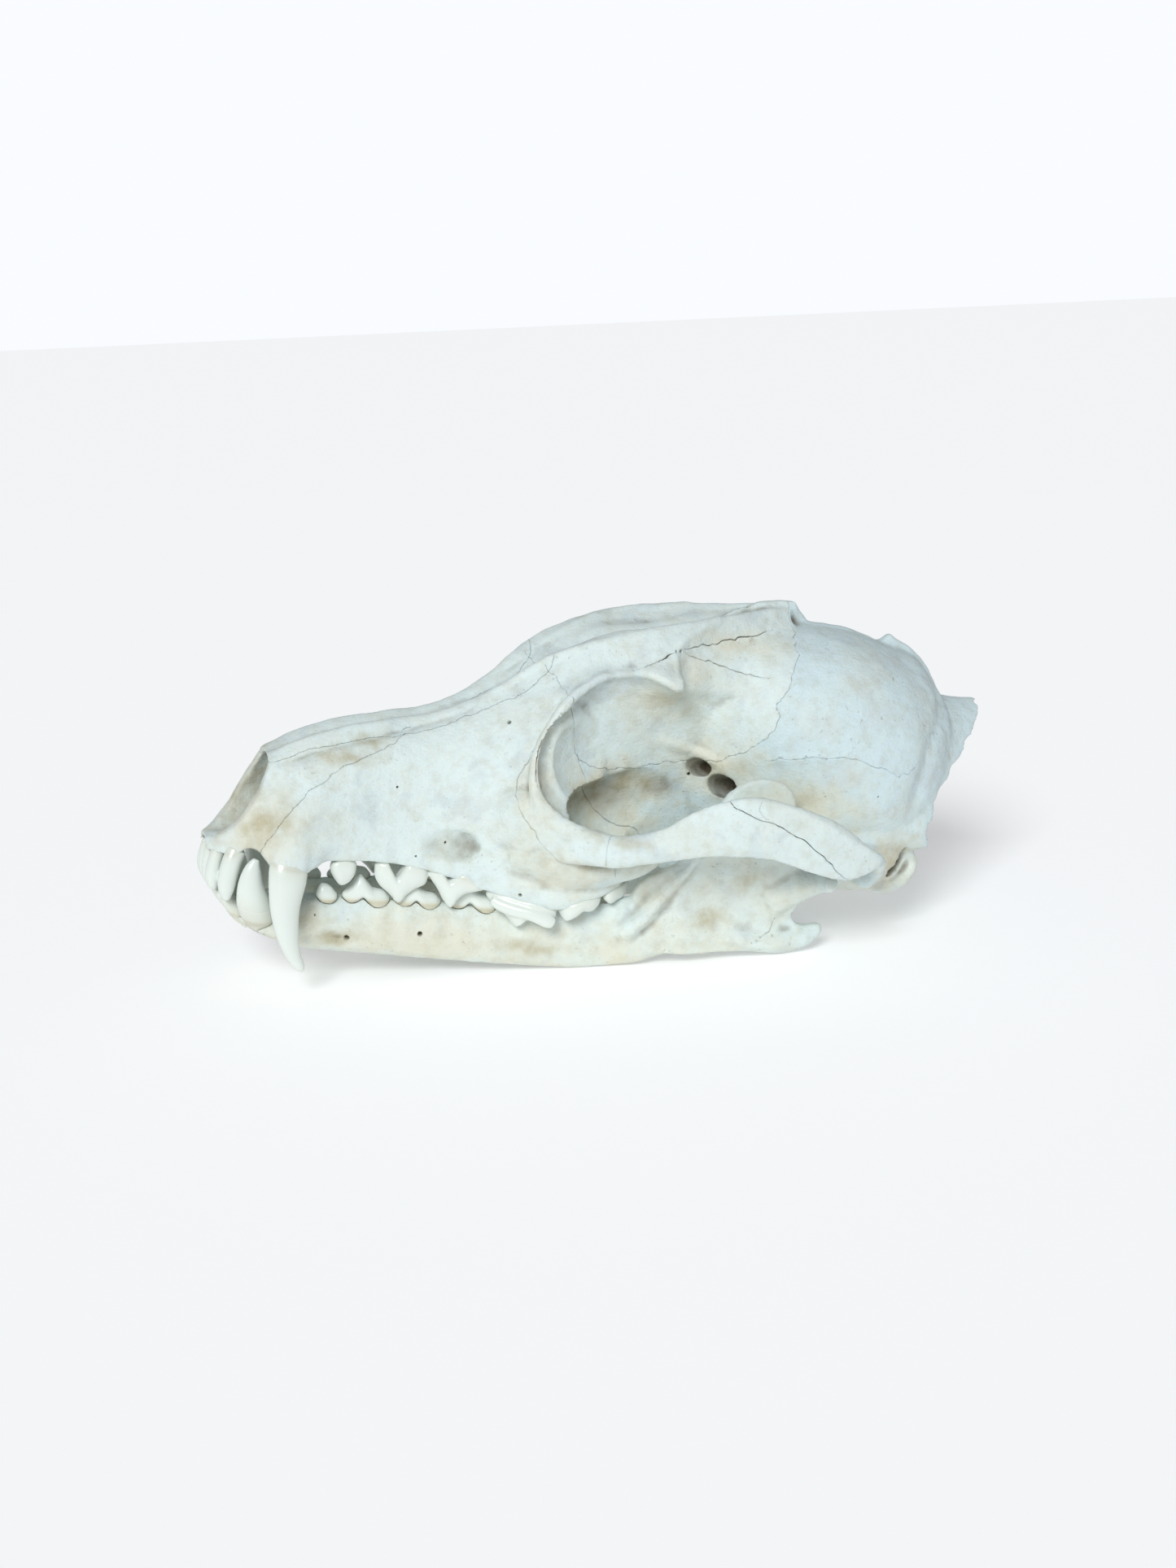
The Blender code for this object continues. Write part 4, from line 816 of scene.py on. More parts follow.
def left_side(places):
    """The same points with the animal's right side folded over to its left."""
    folded = places.copy()
    folded[:, 1] = -np.abs(folded[:, 1])
    return folded


# How far all bone is drawn in, so that its unevenness stays inside the solids' box.
SINK = 0.14
# Share of a ridge's length over which each end dies down, and its height at the very end.
RIDGE_FADE, RIDGE_END = 0.12, 0.35

# Where the back of the skull is rougher, how far round it and by how much.
ROUGH_BACK_AT, ROUGH_BACK_REACH, ROUGH_BACK = (134.0, -13.0, 28.0), (7.0, 9.0, 12.0), 1.3


def sculpt(thing, lumps, ridges, rough):
    """Moves each point along its normal by lumps, ridges and a fine unevenness."""
    places = places_of(thing)
    folded = left_side(places)
    lift = np.full(len(places), -SINK)
    for *middle, rx, ry, rz, height in lumps:
        lift += height * lump(folded, middle, (rx, ry, rz))
    for line, width, height in ridges:
        away, share = near_line(folded, line)
        fade = np.clip(np.minimum(share, 1 - share) / RIDGE_FADE, 0, 1)
        lift += height * np.exp(-((away / width) ** 2)) * (RIDGE_END + (1 - RIDGE_END) * fade)
    more = 1 + ROUGH_BACK * lump(folded, ROUGH_BACK_AT, ROUGH_BACK_REACH)
    for size, height, seed in rough:
        lift += more * height * value_noise(places, size, seed)
    places += corner_values(thing, "normal") * lift[:, None]
    thing.data.vertices.foreach_set("co", places.ravel())
    thing.data.update()


def evenly(points, step):
    """Points at even steps along a smooth path through points."""
    path = smooth_path(points, 8)
    gone = np.concatenate([[0], np.cumsum(np.linalg.norm(np.diff(path, axis=0), axis=1))])
    at = np.linspace(0, gone[-1], max(3, round(gone[-1] / step)))
    return np.column_stack([np.interp(at, gone, path[:, i]) for i in range(path.shape[1])])


def wavy(line, wave, swing, seed):
    """A seam's line in x and z with the small waves of a suture."""
    path = evenly(line, SEAM_STEP)
    deep = np.column_stack([path, np.zeros(len(path))])
    sway = value_noise(deep, wave, seed) + 0.5 * value_noise(deep, wave / 2.3, seed + 3)
    return path + sideways(path) * (swing * sway * end_fade(len(path), 3))[:, None]


def score_mark(tree, line, width, depth, jag, seed):
    """A thin wedge that follows a line over the surface, to cut a crack or a suture with."""
    path = evenly(line, MARK_STEP)
    shake = np.column_stack([value_noise(path, 1.3, seed + k) for k in range(3)])
    shake += 0.5 * np.column_stack([value_noise(path, 0.6, seed + 5 + k) for k in range(3)])
    found = [tree.find_nearest(Vector(place))[:2] for place in path + jag * shake]
    spots, normals = (np.array(rows) for rows in zip(*found))
    for _ in range(3):
        normals[1:-1] = (normals[:-2] + normals[1:-1] + normals[2:]) / 3
    normals = unit(normals)
    ahead = unit(np.gradient(spots, axis=0), 1e-9)
    across = unit(np.cross(ahead, normals), 1e-9)
    thin = end_fade(len(spots), 5, 0.25)
    thin *= 0.8 + 0.3 * value_noise(spots, 2.0, seed + 9)
    half = (0.5 * width * thin)[:, None]
    deep = (depth * thin)[:, None]
    rings = np.stack(
        [
            spots + normals * MARK_ABOVE + across * half * 1.8,
            spots - normals * deep + across * half * 0.5,
            spots - normals * deep - across * half * 0.5,
            spots + normals * MARK_ABOVE - across * half * 1.8,
        ],
        axis=1,
    )
    return skin("score", rings)


def pit(tree, place, radius, depth):
    """A small round hole sunk into the surface nearest to a place."""
    spot, normal = tree.find_nearest(Vector(place))[:2]
    normal = normal.normalized()
    profile = ((1.0, 1.5), (0.15, 1.1), (-0.5 * depth, 0.85), (-depth, 0.5))
    stations = [(*(spot + normal * height), radius * share, radius * share) for height, share in profile]
    return sweep("pit", stations, UP if abs(normal.z) < 0.9 else AHEAD, 10, 1)


def surface_of(thing):
    """A thing's surface as a tree, in which the nearest spot to a place is quickly found."""
    shape = bmesh.new()
    shape.from_mesh(thing.data)
    tree = BVHTree.FromBMesh(shape)
    shape.free()
    return tree


def engrave(thing, marks, pits, right=None):
    """Cuts cracks, closed sutures and small holes. Those of both sides are cut in the right bone too,
    or in the same one where it has both sides."""
    tree = surface_of(thing)
    other = right or thing
    far_tree = surface_of(right) if right else tree
    near, far = [], []
    for number, (line, *sizes, both) in enumerate(marks):
        near.append((thing, score_mark(tree, line, *sizes, 11 * number)))
        if both:
            mirrored = [(x, -y, z) for x, y, z in line]
            near.append((other, score_mark(far_tree, mirrored, *sizes, 11 * number + 5)))
    for x, y, z, radius, depth, both in pits:
        near.append((thing, pit(tree, (x, y, z), radius, depth)))
        if both:
            far.append((other, pit(far_tree, (x + 0.3, -y, z - 0.2), 0.9 * radius, depth)))
    for bone, cutter in near + far:
        cut_away(bone, [cutter])


def muzzle():
    """The long front of the skull, from the front teeth to the eyes."""
    rings = []
    for x in np.linspace(MUZZLE_START, MUZZLE_END, 47):
        top, socket = curve_at(MUZZLE_TOP, x), curve_at(MUZZLE_SOCKET_Z, x)
        floor, rim = curve_at(PALATE_Z, x), curve_at(MUZZLE_SOCKET_W, x)
        nasal = curve_at(MUZZLE_NASAL_W, x)
        tall = top - socket
        half = (
            (0.0, floor),
            (0.55 * rim, floor - 0.25),
            (0.82 * rim, socket + 0.5),
            (rim, socket + 0.6),
            (curve_at(MUZZLE_SIDE_W, x), socket + 0.40 * tall),
            (curve_at(MUZZLE_SHOULDER_W, x), socket + 0.76 * tall),
            (nasal, socket + 0.955 * tall),
            (0.45 * nasal, top + 0.35),
            (0.0, top),
        )
        rings.append(mirrored_ring(x, half, 4))
    return skin("muzzle", rings)


def brow():
    """The block between the eyes, with the two crests on top of it."""
    rings = []
    for x in np.linspace(BROW_START, BROW_END, 35):
        base, low = curve_at(BROW_BASE_Z, x), curve_at(BROW_LOW_W, x)
        rim, rim_z = curve_at(BROW_RIM_W, x), curve_at(BROW_RIM_Z, x)
        crest, crest_z = curve_at(BROW_CREST_W, x), curve_at(BROW_CREST_Z, x)
        wall, top = curve_at(BROW_WALL_W, x), curve_at(BROW_TOP, x)
        half = (
            (0.0, base),
            (0.8 * low, base),
            (low, base + 3.0),
            (0.5 * (low + wall), 0.5 * (base + 3.0 + rim_z - 9.0)),
            (wall, rim_z - 8.0),
            (0.5 * wall + 0.5 * rim, rim_z - 3.2),
            (rim, rim_z),
            (crest, crest_z),
            (0.5 * crest, 0.5 * (crest_z + top)),
            (0.0, top),
        )
        rings.append(mirrored_ring(x, half, 4))
    return skin("brow", rings)


def braincase():
    """The round case of the brain, boxier below than above."""
    rings = []
    turn = np.linspace(0, 2 * math.pi, 64, endpoint=False)
    cos, sin = np.cos(turn), np.sin(turn)
    power = np.where(sin > 0, 2 / 2.15, 2 / 3.0)
    for x in np.linspace(CASE_START, CASE_END, 44):
        wide, top = curve_at(CASE_W, x), curve_at(CASE_TOP, x)
        base, middle = curve_at(CASE_BASE, x), curve_at(CASE_WIDEST_Z, x)
        y = wide * np.sign(cos) * np.abs(cos) ** power
        lift = np.sign(sin) * np.abs(sin) ** power
        z = middle + lift * np.where(sin > 0, top - middle, middle - base)
        rings.append(np.column_stack([np.full(len(turn), x), y, z]))
    return skin("braincase", rings)


def side_wall(outline, name, half):
    """An upright slab along the middle plane, from an outline in x and z and half its thickness."""
    return plate(name, outline, lambda u, v: half, lambda u, v, side: Vector((u, side, v)))


def orbit_rim():
    """The raised front and lower edge of the eye socket."""
    stations = [(x, -y + 0.6 * half, z - 0.3 * half, half, half) for x, y, z, half in ORBIT_RIM]
    return sweep("orbit_rim", stations, AHEAD, 12, 4)


def back_crest():
    """One side of the crest over the back of the skull, a thin flange with a chipped rim."""
    edge = smooth_path(BACK_CREST, 12)
    root = smooth_path(BACK_CREST_ROOT, 12)
    out = unit(edge - root)
    chips = value_noise(edge, 2.0, 71) + 0.8 * value_noise(edge, 0.9, 73)
    rim = edge - out * np.clip(1.1 * chips, 0, 1.5)[:, None]
    normal = unit(np.cross(out, np.gradient(edge, axis=0)))
    rings = []
    for start, end, side in zip(root, rim, normal):
        near = [start + (end - start) * reach + side * half for reach, half in FLANGE_SECTION]
        far = [start + (end - start) * reach - side * half for reach, half in FLANGE_SECTION[::-1]]
        rings.append(near + far)
    rings = np.array(rings)
    rings[:, :, 1] = -rings[:, :, 1]
    rings[0, :, 1] = 0.5
    return skin("back_crest", rings)


def form(name):
    """One of the forms on the left side or the midline, by its name."""
    if name in BARS:
        guide, around, steps, power, stations = BARS[name]
        return sweep(name, stations, guide, around, steps, power)
    if name in BALLS:
        return ball(name, *BALLS[name])
    return {"back_crest": back_crest, "orbit_rim": orbit_rim}[name]()


def paired(*names):
    """The named forms on the left side, and the same ones on the right."""
    left = [form(name) for name in names]
    return left + [mirror_copy(thing, thing.name + "_far") for thing in left]


def top_crest():
    """The crest along the top of the braincase, thicker at its root."""
    return plate(
        "top_crest",
        TOP_CREST + TOP_CREST_ROOT,
        lambda u, v: CREST_HALF if v > CREST_ROOT_Z else CREST_ROOT_SPREAD,
        lambda u, v, side: Vector((u, side, v)),
    )


def blade_place(u, v, side):
    """Where a point of the jaw's upright blade lies, which leans out as it rises."""
    lean = np.clip((v + 6.0) / 28.0, 0.0, 1.2)
    y = BLADE_Y_FOOT + (BLADE_Y_TIP - BLADE_Y_FOOT) * lean + 0.04 * (u - 92.0) - 0.22 * max(0.0, 84.0 - u)
    return Vector((u, -(y + side), v))


def jaw(cell, rounds):
    """The left half of the lower jaw as one fine skin."""
    rings = []
    for x in np.linspace(JAW_START, JAW_END, 50):
        low, top = curve_at(JAW_LOW, x), curve_at(JAW_TOP, x)
        outer, inner = curve_at(JAW_OUT, x), curve_at(JAW_IN, x)
        tall, wide = top - low, outer - inner
        loop = (
            (inner + 0.50 * wide, low),
            (inner + 0.86 * wide, low + 0.14 * tall),
            (outer, low + 0.45 * tall),
            (inner + 0.90 * wide, low + 0.82 * tall),
            (inner + 0.70 * wide, top),
            (inner + 0.34 * wide, top),
            (inner + 0.06 * wide, low + 0.80 * tall),
            (inner, low + 0.50 * tall),
            (inner + 0.14 * wide, low + 0.16 * tall),
        )
        path = smooth_path(loop, 4, closed=True)
        rings.append(np.column_stack([np.full(len(path), x), -path[:, 0], path[:, 1]]))
    body = skin("jaw_body", rings)
    blade = plate("blade", smooth_path(BLADE, 2, closed=True), lambda u, v: BLADE_HALF, blade_place)
    whole = joined("mandible_left", [body, blade] + [form(name) for name in JAW_FORMS])
    fused(whole, COARSE * cell, rounds)
    return fused(whole, cell, 2)


def loose_parts(thing):
    """The closed surfaces of a thing, each as an object."""
    before = set(bpy.data.objects)
    bpy.context.view_layer.objects.active = thing
    for other in bpy.data.objects:
        other.select_set(other == thing)
    bpy.ops.object.mode_set(mode="EDIT")
    bpy.ops.mesh.select_all(action="SELECT")
    bpy.ops.mesh.separate(type="LOOSE")
    bpy.ops.object.mode_set(mode="OBJECT")
    return [thing] + [other for other in bpy.data.objects if other not in before]


def drop_crumbs(thing, least):
    """Deletes the closed scraps with fewer corners than the given number."""
    mesh = bmesh.new()
    mesh.from_mesh(thing.data)
    seen = set()
    scraps = []
    for start in mesh.verts:
        if start in seen:
            continue
        seen.add(start)
        island = [start]
        for corner in island:
            for edge in corner.link_edges:
                other = edge.other_vert(corner)
                if other not in seen:
                    seen.add(other)
                    island.append(other)
        if len(island) < least:
            scraps.extend(island)
    bmesh.ops.delete(mesh, geom=scraps, context="VERTS")
    mesh.to_mesh(thing.data)
    mesh.free()


def sheet(name, line, near, far, thick, wave, swing, seed):
    """A thin wavy sheet along a line in x and z, from one y to another, to part two bones with."""
    path = wavy(line, wave, swing, seed)
    ys = np.linspace(near, far, max(3, round(abs(far - near) / SHEET_STEP)))
    rings = []
    for spot, side, end in zip(path, sideways(path), end_fade(len(path), 4)):
        here = np.column_stack([np.full(len(ys), spot[0]), ys, np.full(len(ys), spot[1])])
        sway = swing * end * value_noise(here * (0.25, 1, 0.25), wave * 0.8, seed + 21)
        ring = []
        for half, order in ((thick / 2, 1), (-thick / 2, -1)):
            for y, reach in zip(ys[::order], (sway + half)[::order]):
                ring.append((spot[0] + side[0] * reach, y, spot[1] + side[1] * reach))
        rings.append(ring)
    return skin(name, rings)


def middle_sheet(thick):
    """The sheet between the left and right bones of the face, which stops short of the braincase."""
    frontal = [(x + 0.8, z - 0.8) for x, z in FRONTAL_SEAM[3:]]
    palate = [(x + 0.8, z + 0.8) for x, z in PALATE_SEAM[1:]]
    back = frontal + [(-8.0, 56.0), (-8.0, -8.0), (81.0, -8.0)] + palate[::-1]
    return side_wall(back, "middle_sheet", thick / 2)


def arch_cut(name, x, y, direction, thick):
    """A thin wall across the cheek arch."""
    shape = bmesh.new()
    bmesh.ops.create_cube(shape, size=1.0)
    size = Matrix.Diagonal((thick, ARCH_CUT_LONG, ARCH_CUT_TALL, 1.0))
    place = Matrix.Translation((x, y, ARCH_CUT_Z)) @ Matrix.Rotation(math.radians(direction), 4, "Z")
    bmesh.ops.transform(shape, matrix=place @ size, verts=shape.verts)
    return object_from(name, shape)


def cranium(cell, rounds):
    """The bones of the skull without the lower jaw, as one fine skin with its openings."""
    face = muzzle()
    nose = [side_wall(NOSE_FRONT, "nose_front", 20.0), form("nose_passage")]
    cut_away(face, nose + paired("orbit") + paired("canal"), "EXACT")
    centre = brow()
    cut_away(centre, paired("orbit") + [form("throat")], "EXACT")
    pieces = [face, centre, braincase()]
    for names in SIDE_FORMS:
        pieces += paired(*names)
    pieces.append(top_crest())
    whole = fused(joined("cranium", pieces), COARSE * cell, rounds)
    holes = paired("ear_hole") + [form("spine_hole")]
    for name in SIDE_HOLLOWS:
        holes += paired(name)
    for hole in holes:
        cut_away(whole, [hole])
    fused(whole, cell, 2)
    sculpt(whole, SKULL_LUMPS, SKULL_RIDGES, BONE_ROUGH)
    return whole


def part_bones(skull, thick):
    """Cuts the cranium along its wavy sutures and keeps the bone at each anchor, on both sides."""
    cutters = [middle_sheet(thick)]
    for name, line, reach, *waves in SEAMS:
        cutters.append(sheet(name, line, -reach, reach, thick, *waves))
    for sign in (-1, 1):
        wider = thick + CHEEK_SEAM_MORE
        near, far = (y * sign for y in CHEEK_SEAM_Y)
        cutters.append(sheet("cheek_seam", CHEEK_SEAM, near, far, wider, *CHEEK_SEAM_WAVES))
        for name, x, y, direction in ARCH_CUTS:
            cutters.append(arch_cut(name, x, y * sign, direction * sign, thick))
    for cutter in cutters:
        cut_away(skull, [cutter])
    pieces = loose_parts(skull)
    bones = {}
    for name, (x, y, z) in ANCHORS.items():
        for side in ("left", "right") if name.endswith("_left") else ("",):
            spot = np.array((x, -y if side == "right" else y, z))
            kept = name.replace("left", side) if side else name

            def away(piece, spot=spot):
                """How far a piece is from the anchor."""
                return np.linalg.norm(places_of(piece) - spot, axis=1).min()

            bones[kept] = min(pieces, key=away)
    for piece in pieces:
        if piece not in bones.values():
            bpy.data.objects.remove(piece, do_unlink=True)
    for name, piece in bones.items():
        piece.name = piece.data.name = name + "_bone"
    return bones


def cheek_tooth(bone_side, width, inset, upper, lower, point):
    """One cheek tooth from the upper and lower edge of its crown, seen from the side."""
    x0, x1 = upper[0][0], upper[-1][0]
    rings = []
    for s in np.linspace(0.0, 1.0, 31):
        x = x0 + (x1 - x0) * s
        round_off = max(0.0, 1 - abs(2 * s - 1) ** 3.2) ** 0.5
        tip, neck = (curve_at(edge, x) for edge in ((lower, upper) if point < 0 else (upper, lower)))
        middle, tall = 0.5 * (tip + neck), 0.5 * (neck - tip) * (0.5 + 0.5 * round_off)
        wide = 0.5 * width * max(0.25, round_off)
        y = inset + width / 2 - curve_at(bone_side, x)
        outer = [(x, y - wide * w, middle + tall * h) for w, h in CROWN_SECTION]
        inner = [(x, y + wide * w, middle + tall * h) for w, h in CROWN_SECTION[::-1]]
        rings.append(outer + inner)
    return skin("crown", rings)


def molar_lobes():
    """The broad inner parts of the upper molars."""
    lobes = []
    for x, outer, inner, width, lowest in UPPER_LOBES:
        z, tall = (LOBE_TOP + lowest) / 2, (LOBE_TOP - lowest) / 2
        stations = (
            (x, -outer, z, tall, width / 2),
            (x, -0.6 * outer - 0.4 * inner, z, 0.94 * tall, 0.48 * width),
            (x, -0.2 * outer - 0.8 * inner, z, 0.9 * tall, 0.42 * width),
            (x, -inner, z, 0.6 * tall, 0.26 * width),
        )
        lobes.append(sweep("lobe", stations, UP, 16, 4))
    return lobes


def upper_teeth(cell):
    """The left upper canine and cheek teeth."""
    shells = [cheek_tooth(MUZZLE_SOCKET_W, *row, -1) for row in UPPER_CHEEK] + molar_lobes()
    edge = [(x, inset - curve_at(MUZZLE_SOCKET_W, x), *rest) for x, inset, *rest in BLADE_EDGE]
    shells.append(sweep("blade_edge", edge, UP, 12, 5))
    shells.append(sweep("canine", UPPER_CANINE, AHEAD, 28, 8))
    return fused(joined("upper_teeth", shells), cell, 2)


def upper_incisors(cell):
    """The three left upper incisors."""
    shells = [sweep("incisor", row, AHEAD, 20, 5) for row in UPPER_INCISORS]
    return fused(joined("upper_incisors", shells), cell, 2)


def lower_teeth(cell):
    """The left lower incisors, canine and cheek teeth."""
    shells = [cheek_tooth(JAW_OUT, *row, 1) for row in LOWER_CHEEK]
    shells += [sweep("incisor", row, AHEAD, 20, 5) for row in LOWER_INCISORS]
    shells.append(sweep("canine", LOWER_CANINE, AHEAD, 28, 8))
    return fused(joined("lower_teeth", shells), cell, 2)


def socket_cutter(gap):
    """The lower teeth made a little larger, to cut their sockets with."""
    shape = lower_teeth(SOCKET_CELL)
    swell = shape.modifiers.new("swell", "DISPLACE")
    swell.strength = gap
    swell.mid_level = 0.0
    return fused(shape, SOCKET_CELL, 1)


# Low lumps and hollows on the left side: x, y, z, reach each way, height out of the bone.
SKULL_LUMPS = (
    (32, -10.5, 13, 9, 6, 7, -0.5), (59, -19.5, 2, 6, 4, 2.6, -0.7), (103, -19, 17.5, 8, 6, 6, -1.1),
    (83.4, -14, 39.5, 2.6, 3, 3.4, -0.8), (110, -36.5, 8, 6, 4, 2, -0.3),
    (31.4, -11, 4.2, 1.5, 3, 2.8, 0.35), (37.2, -11.8, 4, 1.5, 3, 2.8, 0.3),
    (42, -12.6, 1.8, 1.5, 3, 2.4, 0.3), (47.6, -14.2, 0.6, 1.5, 3, 2.4, 0.3),
    (52.6, -16.4, -0.6, 1.6, 3, 2.4, 0.3), (60, -19.6, -2, 1.8, 3, 2, 0.3),
    (91, -34.5, 21, 5, 3, 1.6, 0.45),
)

# Ridges and grooves: points on the surface, half width, height.
SKULL_RIDGES = (
    (
        (
            (49.2, -4.9, 32.3), (54.7, -5.7, 36), (59.5, -6.9, 39.2), (63.7, -8.4, 41),
            (68.1, -9.6, 42.6), (74.8, -10.4, 44.5), (81.2, -10.2, 46.2), (89.7, -8.2, 47.7),
        ),
        1.2, 1,
    ),
    (((50, -2.6, 32.8), (59, -4, 39.6), (68, -6, 43), (76, -6.6, 45.2), (86, -5.4, 47.2)), 2.4, -1.1),
    (((58, -12, 35.5), (66, -13.2, 40), (74, -14.6, 41)), 2.4, -0.8),
    (
        (
            (40, 0, 28), (50, 0, 33.4), (60, 0, 39.6), (70, 0, 43.3), (80, 0, 45.6), (90, 0, 47.9),
            (97, 0, 48.8),
        ),
        3.2, -2.2,
    ),
    (((12, 0, 20.2), (24, 0, 24.6), (40, 0, 28.6)), 1.3, -0.55),
    (((13, -6, 18.4), (22, -5.9, 22), (34, -5.4, 25.4), (46, -6, 29.6)), 1, -0.8),
    (((12, -3.4, 20), (22, -3.4, 23.6), (34, -3.2, 27), (46, -3.4, 31.2)), 1, 0.55),
    (
        (
            (80.6, -13.8, 42.9), (83.2, -11.9, 45.3), (89.9, -8.2, 47.7), (98.3, -4.8, 48.7),
            (108, -1.2, 49.6),
        ),
        0.9, 0.6,
    ),
    (((83.6, -13.4, 41.8), (89.5, -10.8, 44.2), (100, -7.2, 45.6)), 1.5, -0.6),
    (((80.6, -14.2, 42.2), (80.9, -15.8, 39.5), (80.6, -18, 37.3)), 0.8, 0.55),
    (
        (
            (66.7, -15.3, 38.1), (60.5, -17.1, 33.8), (58, -18.1, 29.6), (56.7, -19.4, 24),
            (56.8, -20.3, 19.9), (57.8, -22.3, 16), (60.5, -24.2, 13.3), (64.4, -26.3, 11.9),
        ),
        0.9, 0.5,
    ),
    (((66, -15.5, 37.8), (71.2, -15.1, 38.5), (75.4, -16.5, 38.7), (79.5, -18, 37.3)), 1, 0.55),
    (((80.8, -10.3, 25.8), (85.5, -10, 24.3), (89.8, -11.6, 23.2), (93.5, -14, 20.8)), 1, 0.7),
    (((16.5, -12, 1.5), (15.8, -11.2, 7), (16.8, -9.6, 12.5), (19.5, -8.4, 17)), 2.6, 0.5),
    (((52, -16.5, 6), (57, -21.5, 6.5), (63, -25.5, 6.8), (70, -29, 7.5)), 1.2, 0.6),
    (
        (
            (98, -17.8, 24.2), (104.8, -21, 25.6), (110.4, -22.7, 26.2), (115, -23.4, 25.7),
            (122.7, -23.2, 23.2),
        ),
        0.9, 0.25,
    ),
    (
        ((135.5, -8, 38), (134.6, -13, 33), (131, -18.5, 28.5), (128.5, -20.8, 22), (127.4, -21.4, 16)),
        2.2, -0.9,
    ),
    (
        ((86, -35, 20.6), (93, -36.6, 21), (100.5, -37.1, 18.6), (108.9, -37.1, 14.4), (115.5, -35, 11)),
        0.8, 0.35,
    ),
)
JAW_LUMPS = (
    (21, -9.2, -12.4, 4, 3, 1.5, -0.55), (25.2, -9.2, -12.8, 2, 3, 1.3, -0.65),
    (92, -22, 2, 6, 4, 7, -1.1), (27, -9.3, -9.4, 1.5, 3, 3, 0.25), (31.8, -9.8, -9.6, 1.6, 3, 3.2, 0.3),
    (36.2, -10.4, -9.6, 1.6, 3, 3.2, 0.3), (41.4, -11.2, -9.8, 1.6, 3, 3.2, 0.3),
    (46.2, -12, -9.8, 1.7, 3, 3.4, 0.3), (51.6, -12.9, -9.8, 1.7, 3, 3.4, 0.3),
    (57.6, -14.4, -9, 1.9, 3, 3.6, 0.35), (66, -16.4, -8, 1.9, 3, 3.6, 0.3),
    (14, -9.4, -11, 4, 3, 2.4, 0.3),
)
JAW_RIDGES = (
    (
        (
            (89.4, -24.6, 18), (86.4, -23.6, 10), (84, -22.9, 5), (81.4, -22, 0.6), (78.6, -21.2, -3.8),
            (75.6, -20.2, -7.8),
        ),
        0.9, 0.5,
    ),
    (((84, -21.2, -8.6), (90, -21.4, -8.2), (97, -21.8, -8.6), (104, -22.4, -8.8)), 1.3, 0.5),
    (((100, -22.6, -1), (104.5, -23.2, 1.6), (108.5, -24.6, 3)), 1.2, 0.4),
)

# The unevenness of all bone: size, height, seed.
BONE_ROUGH = ((9, 0.16, 1), (4, 0.12, 2), (1.9, 0.07, 3), (1.1, 0.03, 4))

# Cracks and closed sutures by bone: points near the surface, width, depth, jaggedness, whether on both sides.
SKULL_MARKS = {
    "frontal_left": (
        (((81.4, -13.6, 42.8), (77.1, -15, 41.1), (72.4, -15.1, 39.3)), 0.4, 0.8, 0.25, False),
        (
            ((82.6, -13.4, 42.8), (89.3, -10.5, 44), (95.5, -8.5, 45), (102, -5.8, 46)), 0.28, 0.6, 0.25,
            False,
        ),
        (((83, -13.4, 42.4), (89.3, -11.7, 40.5), (98.7, -14.5, 38.8)), 0.3, 0.6, 0.3, False),
    ),
    "maxilla_left": (
        (
            (
                (58.8, -18, 31), (57.3, -19, 28.2), (55.4, -20, 25.6), (54.8, -20.8, 23),
                (55.4, -21.4, 19.3),
            ),
            0.36, 0.8, 0.2, False,
        ),
        (
            (
                (58.6, -15, 30.4), (56.4, -15.5, 27.5), (54.5, -16.1, 22.4), (52.9, -15.8, 18.6),
                (52.5, -18.3, 15.6), (54.2, -20.9, 11.9), (57.1, -22.5, 8),
            ),
            0.22, 0.5, 0.45, True,
        ),
        (((57.1, -22.5, 8), (61.4, -23.9, 5.6), (66, -25.6, 6)), 0.2, 0.4, 0.25, True),
    ),
    "braincase": (
        (
            (
                (98.4, -17.7, 24.2), (104.8, -21, 25.6), (110.4, -22.7, 26.2), (115, -23.4, 25.7),
                (122.7, -23.2, 23.2),
            ),
            0.14, 0.22, 0.5, True,
        ),
        (((128.2, -20.9, 26.6), (126, -22, 24.4), (122.7, -23.2, 23.2)), 0.12, 0.2, 0.4, True),
    ),
    "temporal_process_left": (
        (((91, -36.4, 21.2), (90.6, -37, 19.6), (92, -37.4, 18.2)), 0.2, 0.4, 0.3, True),
    ),
}

# Small holes by bone: x, y, z, radius, depth, whether on both sides.
SKULL_PITS = {
    "frontal_left": ((81.8, -13.6, 42.7, 0.42, 1.2, False), (80.6, -13.9, 42.7, 0.3, 0.8, False)),
    "maxilla_left": (
        (51.7, -11.1, 28.3, 0.42, 1.5, False), (32.9, -10.3, 15.6, 0.24, 0.8, False),
        (42.1, -11.8, 6.1, 0.26, 0.8, True), (54.8, -17.6, -1.8, 0.36, 0.8, True),
        (37, -11, 3.6, 0.22, 0.6, False),
    ),
    "braincase": ((87.2, -9.6, 19.4, 0.34, 1.5, True), (119, -23.6, 19.4, 0.2, 0.5, False)),
}
JAW_MARKS = ((((99.6, -21.8, -8.2), (101.6, -21.8, -6.4), (102.4, -21.8, -4.4)), 0.24, 0.4, 0.2, False),)
JAW_PITS = (
    (39.1, -10.7, -11.1, 0.5, 1.4, False), (26, -9, -12.8, 0.55, 1.5, False),
    (20.4, -9, -8.2, 0.22, 0.5, False),
)


# Each round of softening keeps this share of a point's own place.
KEPT_SHARE = 0.3


